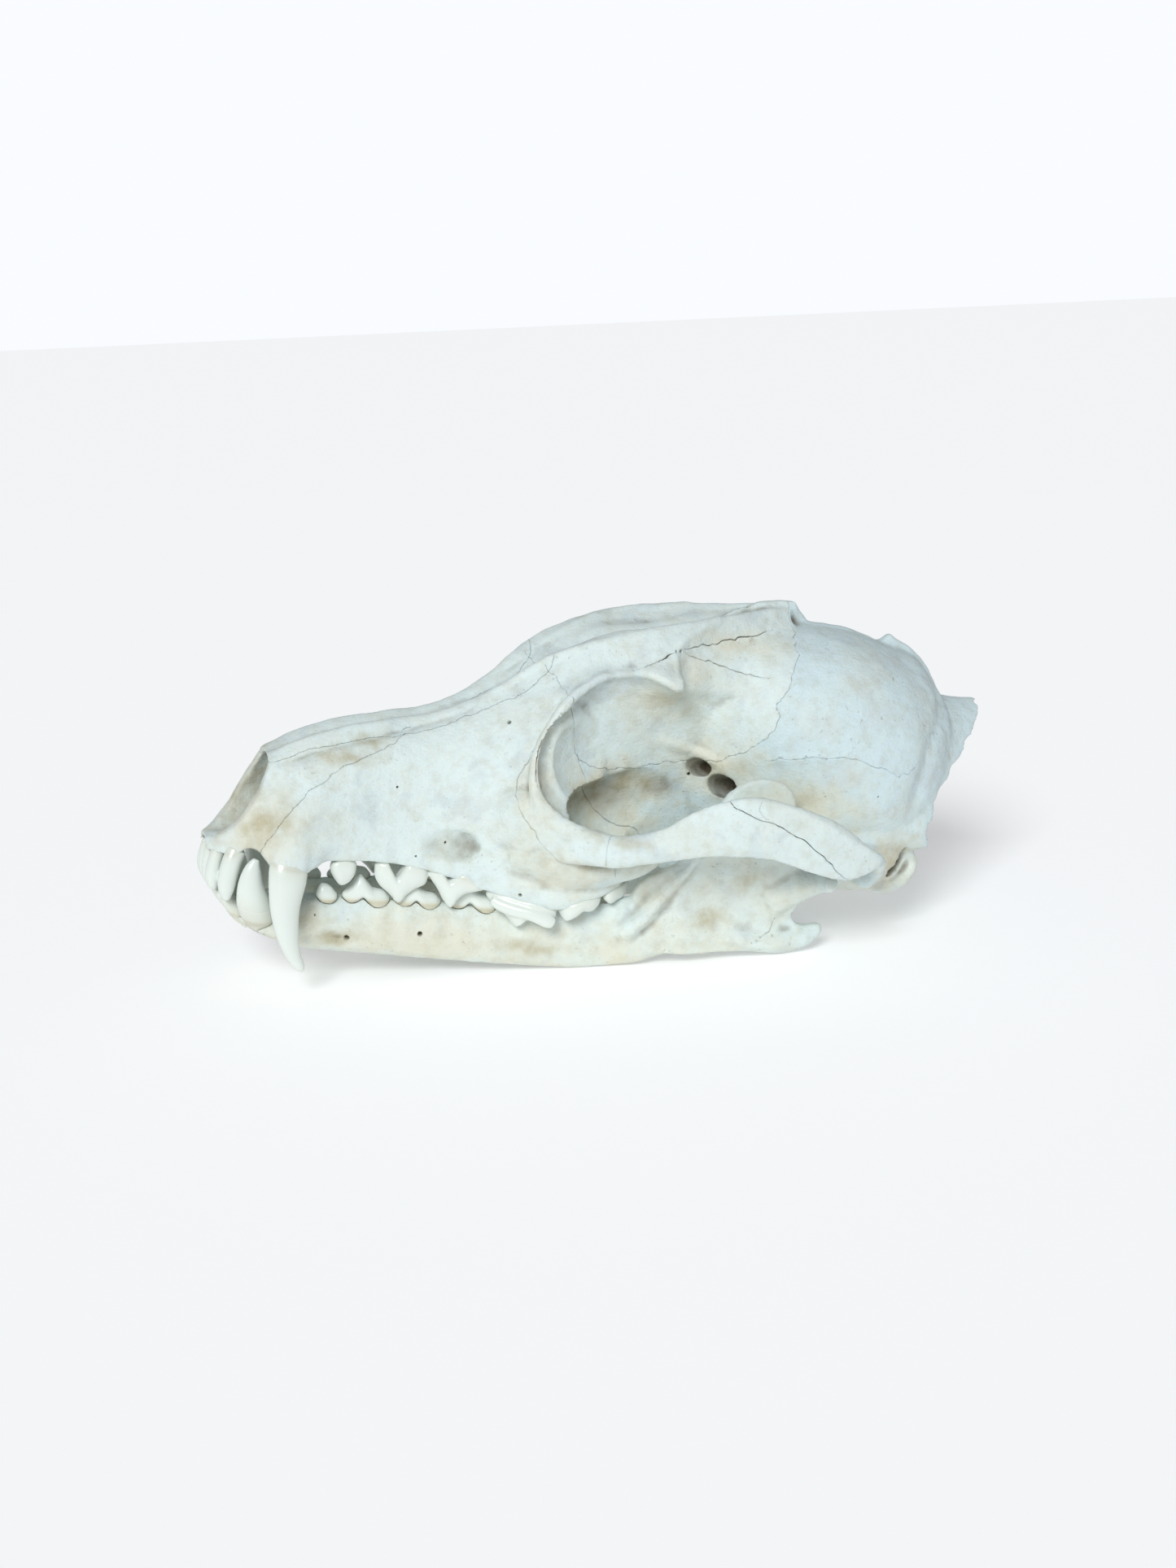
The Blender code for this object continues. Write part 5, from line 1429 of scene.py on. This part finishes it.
def hollowness(thing, rounds):
    """How deep each point lies in a hollow, from the mesh against a softened copy of itself."""
    places = places_of(thing)
    ends = np.empty(len(thing.data.edges) * 2, np.int64)
    thing.data.edges.foreach_get("vertices", ends)
    a, b = ends.reshape(-1, 2).T
    total = len(places)
    count = np.bincount(a, minlength=total) + np.bincount(b, minlength=total)
    soft = places.copy()
    for _ in range(rounds):
        near = np.empty_like(soft)
        for axis in range(3):
            near[:, axis] = np.bincount(a, soft[b, axis], total) + np.bincount(b, soft[a, axis], total)
        soft = KEPT_SHARE * soft + (1 - KEPT_SHARE) * near / np.maximum(count, 1)[:, None]
    return ((soft - places) * corner_values(thing, "normal")).sum(axis=1)


def paint(thing, name, values):
    """Keeps a mask, one value from 0 to 1 for each corner, under a name that the materials read."""
    layer = thing.data.attributes.new(name, "FLOAT", "POINT")
    layer.data.foreach_set("value", np.clip(values, 0, 1).astype(np.float32))


def spots(places, rows, seed, ragged=0.35):
    """Strength at each point from soft spots (x, y, z, reach each way, strength) with ragged edges."""
    folded = left_side(places)
    shake = ragged * (value_noise(places, 2.6, seed) + 0.6 * value_noise(places, 1.1, seed + 1))
    total = np.zeros(len(places))
    for *middle, rx, ry, rz, strength in rows:
        away = np.sqrt((((folded - middle) / (rx, ry, rz)) ** 2).sum(axis=1)) + shake
        total = np.maximum(total, strength * np.clip(1.35 - away, 0, 1) ** 1.3)
    return total


def turned_and_scaled(things):
    """Lays the finished pieces the way the skull rests, in metres."""
    scale = Matrix.Diagonal((MM, MM, MM, 1.0))
    place = scale @ Matrix.Translation(LIE_SHIFT) @ Matrix.Rotation(LIE_TURN, 4, "Y")
    for thing in things:
        thing.data.transform(place)
        thing.data.shade_smooth()
        thing.data.update()


def hand_over(thing, nodes):
    """Makes a piece ride with the part and stand for its solids, which are hidden."""
    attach(thing, "root")
    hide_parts(*nodes)


def new_group(name, inputs, outputs):
    """A shader node group with its named sockets."""
    tree = bpy.data.node_groups.new(name, "ShaderNodeTree")
    for label, kind, default in inputs:
        socket = tree.interface.new_socket(label, in_out="INPUT", socket_type=kind)
        socket.default_value = default
    for label, kind in outputs:
        tree.interface.new_socket(label, in_out="OUTPUT", socket_type=kind)
    return tree, tree.nodes.new("NodeGroupInput"), tree.nodes.new("NodeGroupOutput")


class Wiring:
    """Short ways to place and join nodes in one tree."""

    def __init__(self, tree):
        """Takes the tree that the nodes go in."""
        self.tree = tree

    def put(self, kind, **settings):
        """Places a node with its settings."""
        node = self.tree.nodes.new(kind)
        for key, value in settings.items():
            setattr(node, key, value)
        return node

    def feed(self, socket, value):
        """Links a socket to another or sets its constant."""
        if isinstance(value, bpy.types.NodeSocket):
            self.tree.links.new(value, socket)
        else:
            socket.default_value = value

    def maths(self, operation, a, b=0.0, c=0.0, clamp=False):
        """The result of a sum on up to three values."""
        node = self.put("ShaderNodeMath", operation=operation, use_clamp=clamp)
        for socket, value in zip(node.inputs, (a, b, c)):
            self.feed(socket, value)
        return node.outputs[0]

    def ranged(self, value, low, high, out_low=0.0, out_high=1.0):
        """A value that goes smoothly from one output to the other between low and high."""
        node = self.put("ShaderNodeMapRange", interpolation_type="SMOOTHSTEP")
        keys = ("Value", "From Min", "From Max", "To Min", "To Max")
        for key, given in zip(keys, (value, low, high, out_low, out_high)):
            self.feed(node.inputs[key], given)
        return node.outputs["Result"]

    def mixed(self, share, a, b):
        """One colour that gives way to another by a share."""
        node = self.put("ShaderNodeMix", data_type="RGBA", clamp_factor=True)
        for number, value in ((0, share), (6, a), (7, b)):
            self.feed(node.inputs[number], value)
        return node.outputs[2]

    def noise(self, place, scale, detail, rough, seed):
        """Cloudy values from 0 to 1 over places in metres."""
        node = self.put("ShaderNodeTexNoise", noise_dimensions="4D")
        given = {"Vector": place, "Scale": scale, "Detail": detail, "Roughness": rough, "W": seed}
        for key, value in given.items():
            self.feed(node.inputs[key], value)
        return node.outputs["Fac"]

    def attribute(self, name):
        """One of the masks painted on the mesh."""
        return self.put("ShaderNodeAttribute", attribute_name=name).outputs["Fac"]


def bone_group():
    """Colour, roughness and height of dry bone from its painted masks."""
    if "Dry bone" in bpy.data.node_groups:
        return bpy.data.node_groups["Dry bone"]
    tree, given, out = new_group(
        "Dry bone",
        (
            ("Cool", "NodeSocketColor", (0.69, 0.78, 0.76, 1)),
            ("Shade", "NodeSocketColor", (0.58, 0.66, 0.68, 1)),
            ("Warm", "NodeSocketColor", (0.70, 0.69, 0.57, 1)),
            ("Stain", "NodeSocketColor", (0.43, 0.38, 0.23, 1)),
            ("Dirt", "NodeSocketColor", (0.13, 0.10, 0.06, 1)),
        ),
        (("Colour", "NodeSocketColor"), ("Roughness", "NodeSocketFloat"), ("Height", "NodeSocketFloat")),
    )
    w = Wiring(tree)
    tones = ("Cool", "Shade", "Warm", "Stain", "Dirt")
    cool, shade, warm, stain, dirt_and_shade = (given.outputs[key] for key in tones)
    place = w.put("ShaderNodeTexCoord").outputs["Object"]
    cloud = w.noise(place, 90.0, 3.0, 0.55, 1.0)
    mottle = w.noise(place, 420.0, 3.0, 0.6, 2.0)
    grain = w.noise(place, 1700.0, 4.0, 0.65, 3.0)
    speck = w.noise(place, 1250.0, 1.0, 0.5, 5.0)
    drift = w.noise(place, 170.0, 3.0, 0.6, 6.0)
    stretch = w.put("ShaderNodeMapping")
    w.feed(stretch.inputs["Vector"], place)
    w.feed(stretch.inputs["Scale"], (0.35, 1.0, 1.0))
    fibre = w.noise(stretch.outputs["Vector"], 2600.0, 2.0, 0.5, 4.0)
    # The clean tone drifts to its shade, and yellows where it is painted warm.
    yellowed = w.maths("ADD", w.attribute("warm"), w.ranged(cloud, 0.35, 0.68, -0.18, 0.22), clamp=True)
    colour = w.mixed(w.ranged(drift, 0.5, 0.68, 0.0, 0.7), cool, shade)
    colour = w.mixed(yellowed, colour, warm)
    # Faint mottle and grain everywhere, and strong stains where they are painted.
    colour = w.mixed(w.ranged(mottle, 0.42, 0.72, 0.0, 0.22), colour, stain)
    colour = w.mixed(w.ranged(grain, 0.40, 0.30, 0.0, 0.30), colour, stain)
    stained = w.maths("MULTIPLY", w.attribute("stain"), w.ranged(mottle, 0.25, 0.62, 0.45, 1.0), clamp=True)
    colour = w.mixed(stained, colour, stain)
    # Dark pores and dirt.
    pore = w.maths("MULTIPLY", w.ranged(speck, 0.67, 0.74), w.attribute("porous"))
    # Dark pores, and painted shade that darkens the hollows.
    colour = w.mixed(w.maths("MULTIPLY", pore, 0.35), colour, dirt_and_shade)
    darkened = w.maths("MULTIPLY", w.attribute("hollow"), w.ranged(mottle, 0.2, 0.7, 0.7, 1.0), clamp=True)
    colour = w.mixed(darkened, colour, dirt_and_shade)
    height = w.maths("ADD", w.maths("MULTIPLY", grain, 0.55), w.maths("MULTIPLY", fibre, 0.25))
    height = w.maths("SUBTRACT", height, w.maths("MULTIPLY", pore, 0.8))
    height = w.maths("ADD", height, w.maths("MULTIPLY", mottle, 0.5))
    w.feed(out.inputs["Colour"], colour)
    w.feed(out.inputs["Roughness"], w.ranged(grain, 0.3, 0.7, 0.48, 0.66))
    w.feed(out.inputs["Height"], height)
    return tree


# The constant settings of each surface, and its bump's strength and height in metres.
BONE_SURFACE = {
    "Subsurface Weight": 0.12,
    "Subsurface Radius": (1.0, 0.7, 0.45),
    "Subsurface Scale": 0.0012,
    "IOR": 1.45,
}
BONE_BUMP = (0.8, 0.00035)
ENAMEL_SURFACE = {
    "Subsurface Weight": 0.18,
    "Subsurface Radius": (1.0, 0.8, 0.6),
    "Subsurface Scale": 0.0009,
    "IOR": 1.6,
}
ENAMEL_BUMP = (0.2, 0.00006)


def new_material(name):
    """A new material, the wiring of its nodes and its surface."""
    material = bpy.data.materials.new(name)
    material.use_nodes = True
    return material, Wiring(material.node_tree), material.node_tree.nodes["Principled BSDF"]


def finish_surface(w, surface, settings, bump_sizes, colour, roughness, height):
    """Feeds a surface with its colour, roughness and height, and sets its constants."""
    bump = w.put("ShaderNodeBump")
    for key, value in zip(("Strength", "Distance", "Height"), (*bump_sizes, height)):
        w.feed(bump.inputs[key], value)
    w.feed(surface.inputs["Base Color"], colour)
    w.feed(surface.inputs["Roughness"], roughness)
    w.feed(surface.inputs["Normal"], bump.outputs["Normal"])
    for key, value in settings.items():
        surface.inputs[key].default_value = value


def bone_material(name, **tones):
    """Dry bone in one piece's own tones."""
    if name in bpy.data.materials:
        return bpy.data.materials[name]
    material, w, surface = new_material(name)
    group = w.put("ShaderNodeGroup", node_tree=bone_group())
    for key, colour in tones.items():
        group.inputs[key].default_value = (*colour, 1.0)
    out = [group.outputs[key] for key in ("Colour", "Roughness", "Height")]
    finish_surface(w, surface, BONE_SURFACE, BONE_BUMP, *out)
    return material


def enamel_material(name, enamel, root, stain):
    """Smooth enamel over a yellower root."""
    if name in bpy.data.materials:
        return bpy.data.materials[name]
    material, w, surface = new_material(name)
    place = w.put("ShaderNodeTexCoord").outputs["Object"]
    cloud = w.noise(place, 260.0, 3.0, 0.6, 7.0)
    fine = w.noise(place, 1500.0, 3.0, 0.6, 8.0)
    yellowed = w.attribute("root")
    colour = w.mixed(yellowed, (*enamel, 1.0), (*root, 1.0))
    darkened = w.maths("MULTIPLY", w.attribute("stain"), w.ranged(cloud, 0.3, 0.65, 0.4, 1.0), clamp=True)
    colour = w.mixed(darkened, colour, (*stain, 1.0))
    roughness = w.ranged(yellowed, 0.0, 1.0, 0.24, 0.5)
    finish_surface(w, surface, ENAMEL_SURFACE, ENAMEL_BUMP, colour, roughness, fine)
    return material


# Ochre stains: x, y, z, reach each way, strength.
STAIN_SPOTS = (
    (10, -9.9, 7.5, 3.6, 4, 3.6, 0.7), (13.1, -10.9, 9.6, 2.6, 3, 4.4, 0.5),
    (23, -7.8, 20.2, 6, 3, 2, 0.7), (28, -6.5, 23, 4, 3, 1.6, 0.65),
    (58.5, -14.5, -12.3, 7, 4, 1.6, 0.65), (89.6, -21.2, -4.7, 3.6, 3, 2, 0.6),
    (96, -22.5, 3, 3, 3, 3, 0.5), (64.4, -26.3, 11.9, 3.4, 2.6, 1.4, 0.5),
    (24, -8.9, -12.6, 5, 3, 1.6, 0.75), (18, -9, -9, 5, 4, 3, 0.35), (80, -12.5, 34.5, 3.6, 3, 2.6, 0.45),
    (85, -12, 30.5, 3, 3, 2.6, 0.4), (94, -14.5, 22, 5, 3, 1.6, 0.45), (106, -21, 18, 5, 4, 3, 0.35),
    (125, -18, 8, 5, 6, 4, 0.6), (43, -12.4, 5.4, 5, 3, 2.6, 0.3), (8, 0, 12, 9, 6.5, 8, 1),
    (68, -12, 15.5, 6, 6, 4, 0.85), (77, -10, 17, 6, 5, 3.4, 0.7), (58, -20.5, 6.5, 6, 4, 1.6, 0.35),
    (66, -22.5, 5.5, 7, 4, 1.6, 0.45), (76, -20, 6, 5, 5, 2.6, 0.5), (80, -17.5, 1, 5, 4, 4, 0.6),
    (70, -30, 11.4, 5, 3, 1.4, 0.45), (76, -13, 2, 4, 6, 3, 0.5),
)

# Painted shade: darkening in openings and deep corners.
SHADE_SPOTS = (
    (70, -9.5, 15.5, 8, 5, 4, 0.5), (64.5, -17, 12, 3.4, 4, 2.6, 0.9), (82, -9, 17, 5, 4, 2.6, 0.55),
    (91, -8, 20.4, 3.8, 4, 2.2, 0.95), (95.5, -10, 17.8, 4.6, 4.6, 2.8, 0.95), (14, 0, 11, 10, 6, 7, 0.4),
    (123, -17.5, 8.4, 3.4, 3, 3, 0.75),
)

# Yellowed places.
WARM_SPOTS = (
    (8, -8, 8, 10, 14, 12, 0.6), (45, -12, -12, 70, 30, 7, 0.75), (95, -22, 0, 18, 12, 10, 0.5),
    (74, -11, 14, 14, 10, 8, 0.9), (92, -12, 22, 14, 10, 7, 0.8), (106, -20, 16, 16, 12, 8, 0.7),
    (62, -22, 3, 12, 10, 6, 0.6), (78, -14, 33, 8, 8, 6, 0.6), (56, -19, 16, 4, 6, 12, 0.6),
    (125, -16, 4, 12, 14, 9, 0.7), (92, -10.5, 44, 10, 5, 2.6, 0.7), (86, -14, 40, 5, 4, 4, 0.6),
)


def paint_bone(thing):
    """Masks for the warm tone, the stains, the painted shade in hollows and the porous places."""
    places = places_of(thing)
    # Painted shade: points deep in hollows, and the spots in openings and deep corners, are darkened as if
    # shade fell there.
    hollow = 0.0
    for rounds, start, span, share in HOLLOWS:
        hollow = hollow + share * np.clip((hollowness(thing, rounds) - start) / span, 0, 1)
    paint(thing, "hollow", np.maximum(hollow, spots(places, SHADE_SPOTS, 51)))
    paint(thing, "stain", spots(places, STAIN_SPOTS, 31))
    paint(thing, "warm", spots(places, WARM_SPOTS, 41))
    paint(thing, "porous", np.clip(0.12 + 0.5 * value_noise(places, 7.0, 61), 0, 1))


def paint_teeth(thing, neck, lift, point, share, fade):
    """Masks for the yellower root, which fades over lengths given by (x, mm), and the soiled neck."""
    places = places_of(thing)
    above = (places[:, 2] - (curve_at(neck, places[:, 0]) + lift)) * point
    paint(thing, "root", share * np.clip(0.5 - above / curve_at(fade, places[:, 0]), 0, 1))
    paint(thing, "stain", share * np.clip(0.7 - np.abs(above + 0.6) / 1.2, 0, 1))


class SkullSizes(bpy.types.PropertyGroup):
    """Sizes of the fine bones and teeth."""

    bone_cell: bpy.props.FloatProperty(
        name="Bone cell", description="Cell of the bones' fine skin, in millimetres",
        default=0.4, min=0.3, max=1.5
    )
    jaw_cell: bpy.props.FloatProperty(
        name="Jaw cell", description="Cell of the lower jaw's fine skin, in millimetres",
        default=0.4, min=0.3, max=1.5
    )
    tooth_cell: bpy.props.FloatProperty(
        name="Tooth cell", description="Cell of the teeth's fine skin, in millimetres",
        default=0.2, min=0.12, max=0.6
    )
    suture: bpy.props.FloatProperty(
        name="Suture", description="Width of the gaps between the bones, in millimetres",
        default=0.06, min=0.03, max=0.3
    )
    soften: bpy.props.IntProperty(
        name="Soften", description="Rounds of softening where shapes melt together",
        default=2, min=1, max=10
    )


class SkullTones(bpy.types.PropertyGroup):
    """Colours of the bone and teeth."""

    cool: bpy.props.FloatVectorProperty(
        name="Cool bone", description="Clean bone on top",
        default=(0.69, 0.78, 0.76), subtype="COLOR", min=0, max=1
    )
    crown: bpy.props.FloatVectorProperty(
        name="Braincase bone", description="Clean bone of the braincase",
        default=(0.63, 0.75, 0.77), subtype="COLOR", min=0, max=1
    )
    warm: bpy.props.FloatVectorProperty(
        name="Warm bone", description="Yellowed bone",
        default=(0.70, 0.69, 0.57), subtype="COLOR", min=0, max=1
    )
    stain: bpy.props.FloatVectorProperty(
        name="Stain", description="Ochre stains",
        default=(0.43, 0.38, 0.23), subtype="COLOR", min=0, max=1
    )
    # Also the tone of the painted shade in hollows, openings and seams.
    dirt_and_shade: bpy.props.FloatVectorProperty(
        name="Dirt", description="Dark dirt in hollows and seams",
        default=(0.13, 0.10, 0.06), subtype="COLOR", min=0, max=1
    )
    enamel: bpy.props.FloatVectorProperty(
        name="Enamel", description="Crowns of the teeth",
        default=(0.73, 0.78, 0.73), subtype="COLOR", min=0, max=1
    )
    root: bpy.props.FloatVectorProperty(
        name="Root", description="Roots of the teeth",
        default=(0.62, 0.60, 0.46), subtype="COLOR", min=0, max=1
    )


class StageSizes(bpy.types.PropertyGroup):
    """The floor, the light and the camera."""

    floor: bpy.props.FloatProperty(
        name="Floor", description="Width of the floor",
        default=3.0, unit="LENGTH", min=0.5
    )
    key: bpy.props.FloatProperty(
        name="Key light", description="Strength of the soft light from above",
        default=2.15, min=0
    )
    softness: bpy.props.FloatProperty(
        name="Softness", description="Spread of the light above, in degrees",
        default=22.0, min=1, max=90
    )
    world: bpy.props.FloatProperty(
        name="Fill", description="Strength of the light from all round",
        default=0.34, min=0
    )
    backdrop: bpy.props.FloatProperty(
        name="Backdrop", description="Brightness of the backdrop",
        default=1.0, min=0
    )
    glow: bpy.props.FloatProperty(
        name="Floor glow", description="Light that the floor gives off, as a light table",
        default=0.26, min=0
    )
    lens: bpy.props.FloatProperty(
        name="Lens", description="Focal length, in millimetres on a 36 mm tall sensor",
        default=56.04, min=20
    )


# A piece with fewer faces than this has come out wrong.
LEAST_FACES = 500


def confirm(things):
    """Raises an error if a piece has come out empty or nearly so."""
    for thing in things:
        if len(thing.data.polygons) < LEAST_FACES:
            raise RuntimeError(f"The piece {thing.name} has too few faces")


class SKULL_OT_cranium(bpy.types.Operator):
    """Builds the bones of the skull above the jaw"""

    bl_idname = "skull.cranium"
    bl_label = "Skull bones"

    def execute(self, context):
        """Builds, parts, engraves and dresses the bones."""
        sizes = context.scene.skull_sizes
        bones = part_bones(cranium(sizes.bone_cell, sizes.soften), sizes.suture)
        for name, marks in SKULL_MARKS.items():
            right = bones.get(name.replace("_left", "_right")) if name.endswith("_left") else None
            engrave(bones[name], marks, SKULL_PITS.get(name, ()), right)
        confirm(bones.values())
        dress_bones(bones.values(), context.scene.skull_tones)
        return {"FINISHED"}


class SKULL_OT_jaw(bpy.types.Operator):
    """Builds the two halves of the lower jaw"""

    bl_idname = "skull.jaw"
    bl_label = "Lower jaw"

    def execute(self, context):
        """Builds the left half, mirrors it and dresses both."""
        sizes = context.scene.skull_sizes
        left = fine_jaw(sizes.jaw_cell, sizes.soften)
        halves = [left, mirror_copy(left, "mandible_right_bone")]
        confirm(halves)
        dress_bones(halves, context.scene.skull_tones)
        return {"FINISHED"}


# Each set of teeth on one side: its builder, name and bone, the curve of its necks and how far above
# it they are, the way the crowns point, the strength of the root's tone, and where that fades, as (x, mm).
TOOTH_SETS = (
    (upper_teeth, "upper_teeth", "maxilla", MUZZLE_SOCKET_Z, 0.3, -1, 0.35, ((0, 4.0), (80, 4.0))),
    (upper_incisors, "upper_incisors", "premaxilla", MUZZLE_SOCKET_Z, 0.3, -1, 0.3, ((0, 3.0), (80, 3.0))),
    (lower_teeth, "lower_teeth", "mandible", JAW_TOP, 0.0, 1, 0.8, ((12, 9.0), (16, 0.9))),
)


class SKULL_OT_teeth(bpy.types.Operator):
    """Builds the upper and lower teeth on both sides"""

    bl_idname = "skull.teeth"
    bl_label = "Teeth"

    def execute(self, context):
        """Builds each set on the left, mirrors it and dresses both."""
        tones = context.scene.skull_tones
        enamel = enamel_material("Enamel", tones.enamel, tones.root, tones.stain)
        for build, name, bone, *looks in TOOTH_SETS:
            left = build(context.scene.skull_sizes.tooth_cell)
            left.name = left.data.name = name + "_left"
            paint_teeth(left, *looks)
            sides = {"left": left, "right": mirror_copy(left, name + "_right")}
            confirm(sides.values())
            turned_and_scaled(sides.values())
            for side, thing in sides.items():
                thing.data.materials.append(enamel)
                hand_over(thing, [f"{bone}_{side}"])
        return {"FINISHED"}


class SKULL_OT_stage(bpy.types.Operator):
    """Lays the floor and sets the light and the camera"""

    bl_idname = "skull.stage"
    bl_label = "Stage"

    def execute(self, context):
        """Sets the stage and checks that it has its camera."""
        stage(context.scene.skull_stage)
        if context.scene.camera is None:
            raise RuntimeError("The stage has no camera")
        return {"FINISHED"}


class SKULL_PT_builder(bpy.types.Panel):
    """Lists the steps that build the skull"""

    bl_label = "Fox skull"
    bl_idname = "SKULL_PT_builder"
    bl_space_type = "VIEW_3D"
    bl_region_type = "UI"
    bl_category = "Skull"

    def draw(self, context):
        """Shows each group of settings and a button for each step."""
        for group in ("skull_sizes", "skull_tones", "skull_stage"):
            settings = getattr(context.scene, group)
            box = self.layout.box()
            for key in settings.__annotations__:
                box.prop(settings, key)
        for step in STEPS:
            self.layout.operator(step.bl_idname)


STEPS = (SKULL_OT_cranium, SKULL_OT_jaw, SKULL_OT_teeth, SKULL_OT_stage)
CLASSES = (SkullSizes, SkullTones, StageSizes, *STEPS, SKULL_PT_builder)


# How far the tooth sockets are wider than the teeth, and the corners of the largest scrap to drop.
SOCKET_GAP = 0.18
CRUMB = 500


def fine_jaw(cell, rounds):
    """The left half of the lower jaw with its sockets, ridges and small holes."""
    left = jaw(cell, rounds)
    sculpt(left, JAW_LUMPS, JAW_RIDGES, BONE_ROUGH)
    cut_away(left, [socket_cutter(SOCKET_GAP)])
    drop_crumbs(left, CRUMB)
    engrave(left, JAW_MARKS, JAW_PITS)
    left.name = left.data.name = "mandible_left_bone"
    return left


def dress_bones(things, tones):
    """Paints the bones, lays them where they rest and hands them over."""
    shared = {"Warm": tones.warm, "Stain": tones.stain, "Dirt": tones.dirt_and_shade}
    for thing in things:
        paint_bone(thing)
        name, cool = "Dry bone", tones.cool
        if thing.name == "braincase_bone":
            name, cool = "Braincase bone", tones.crown
        thing.data.materials.clear()
        thing.data.materials.append(bone_material(name, Cool=cool, **shared))
        turned_and_scaled([thing])
        node = thing.name.removesuffix("_bone")
        hand_over(thing, [node])


# The stage's tones, the floor's roughness, and where the light stands and looks.
FLOOR_TONE, FLOOR_ROUGHNESS = (0.93, 0.93, 0.93, 1.0), 0.9
BACKDROP_TONE, KEY_TONE = (0.95, 0.97, 1.0, 1.0), (0.95, 0.98, 1.0)
KEY_PLACE, KEY_TARGET = Vector((-0.34, -0.54, 0.46)), Vector((0.0, 0.0, 0.03))


def lay_floor(wide, glow):
    """A pale floor that gives off a little light, as a light table does."""
    shape = bmesh.new()
    bmesh.ops.create_grid(shape, x_segments=1, y_segments=1, size=wide / 2)
    floor = object_from("floor", shape)
    material, w, surface = new_material("Pale floor")
    given = {
        "Base Color": FLOOR_TONE,
        "Emission Color": (1.0, 1.0, 1.0, 1.0),
        "Emission Strength": glow,
        "Roughness": FLOOR_ROUGHNESS,
    }
    for key, value in given.items():
        w.feed(surface.inputs[key], value)
    floor.data.materials.append(material)


def stage(sizes):
    """The floor, the soft light from above and all round, and the camera."""
    lay_floor(sizes.floor, sizes.glow)
    world = bpy.data.worlds.new("Soft studio")
    bpy.context.scene.world = world
    world.use_nodes = True
    backdrop = world.node_tree.nodes["Background"]
    w = Wiring(world.node_tree)
    seen = w.put("ShaderNodeLightPath").outputs["Is Camera Ray"]
    w.feed(backdrop.inputs["Color"], BACKDROP_TONE)
    strength = w.maths("MULTIPLY_ADD", seen, sizes.backdrop - sizes.world, sizes.world)
    w.feed(backdrop.inputs["Strength"], strength)
    lamp = bpy.data.lights.new("key", "SUN")
    lamp.angle = math.radians(sizes.softness)
    lamp.energy = sizes.key
    lamp.color = KEY_TONE
    key = bpy.data.objects.new("key", lamp)
    key.location = KEY_PLACE
    key.rotation_euler = (KEY_TARGET - KEY_PLACE).to_track_quat("-Z", "Y").to_euler()
    bpy.context.scene.collection.objects.link(key)
    bpy.context.scene.collection.objects.link(camera(sizes.lens))
    bpy.context.scene.view_settings.view_transform = "Standard"


# The camera round the skull as laid out: azimuth, elevation and roll in degrees, target and distance in mm.
CAMERA_TURN = (-19, 12.5, 5.9)
CAMERA_TARGET = (71.4, 0, 14.8)
CAMERA_AWAY = 450
SENSOR = 36.0


def camera(lens):
    """The camera, set from its place round the skull before the skull is laid down."""
    azimuth, elevation, roll = (math.radians(angle) for angle in CAMERA_TURN)
    level_x, level_y = math.sin(-azimuth), math.cos(azimuth)
    ahead = Vector((level_x * math.cos(elevation), level_y * math.cos(elevation), -math.sin(elevation)))
    level = ahead.cross((0, 0, 1)).normalized()
    up = level.cross(ahead)
    right = level * math.cos(roll) + up * math.sin(roll)
    up = up * math.cos(roll) - level * math.sin(roll)
    spot = Vector(CAMERA_TARGET) - CAMERA_AWAY * ahead
    turn = Matrix.Rotation(LIE_TURN, 3, "Y")
    columns = Matrix((turn @ right, turn @ up, turn @ -ahead)).transposed()
    view = bpy.data.cameras.new("camera")
    view.sensor_fit = "VERTICAL"
    view.sensor_height = view.sensor_width = SENSOR
    view.lens = lens
    view.clip_start, view.clip_end = 0.01, 20.0
    eye = bpy.data.objects.new("camera", view)
    eye.matrix_world = Matrix.Translation((turn @ spot + Vector(LIE_SHIFT)) * MM) @ columns.to_4x4()
    bpy.context.scene.camera = eye
    return eye


def register():
    """Adds the classes and their settings."""
    for kind in CLASSES:
        bpy.utils.register_class(kind)
    bpy.types.Scene.skull_sizes = bpy.props.PointerProperty(type=SkullSizes)
    bpy.types.Scene.skull_tones = bpy.props.PointerProperty(type=SkullTones)
    bpy.types.Scene.skull_stage = bpy.props.PointerProperty(type=StageSizes)


def unregister():
    """Takes the classes and their settings out again."""
    del bpy.types.Scene.skull_stage
    del bpy.types.Scene.skull_tones
    del bpy.types.Scene.skull_sizes
    for kind in reversed(CLASSES):
        bpy.utils.unregister_class(kind)


def main():
    """Runs the steps in order."""
    register()
    for step in STEPS:
        group, name = step.bl_idname.split(".")
        getattr(getattr(bpy.ops, group), name)()


if __name__ == "__main__":
    main()
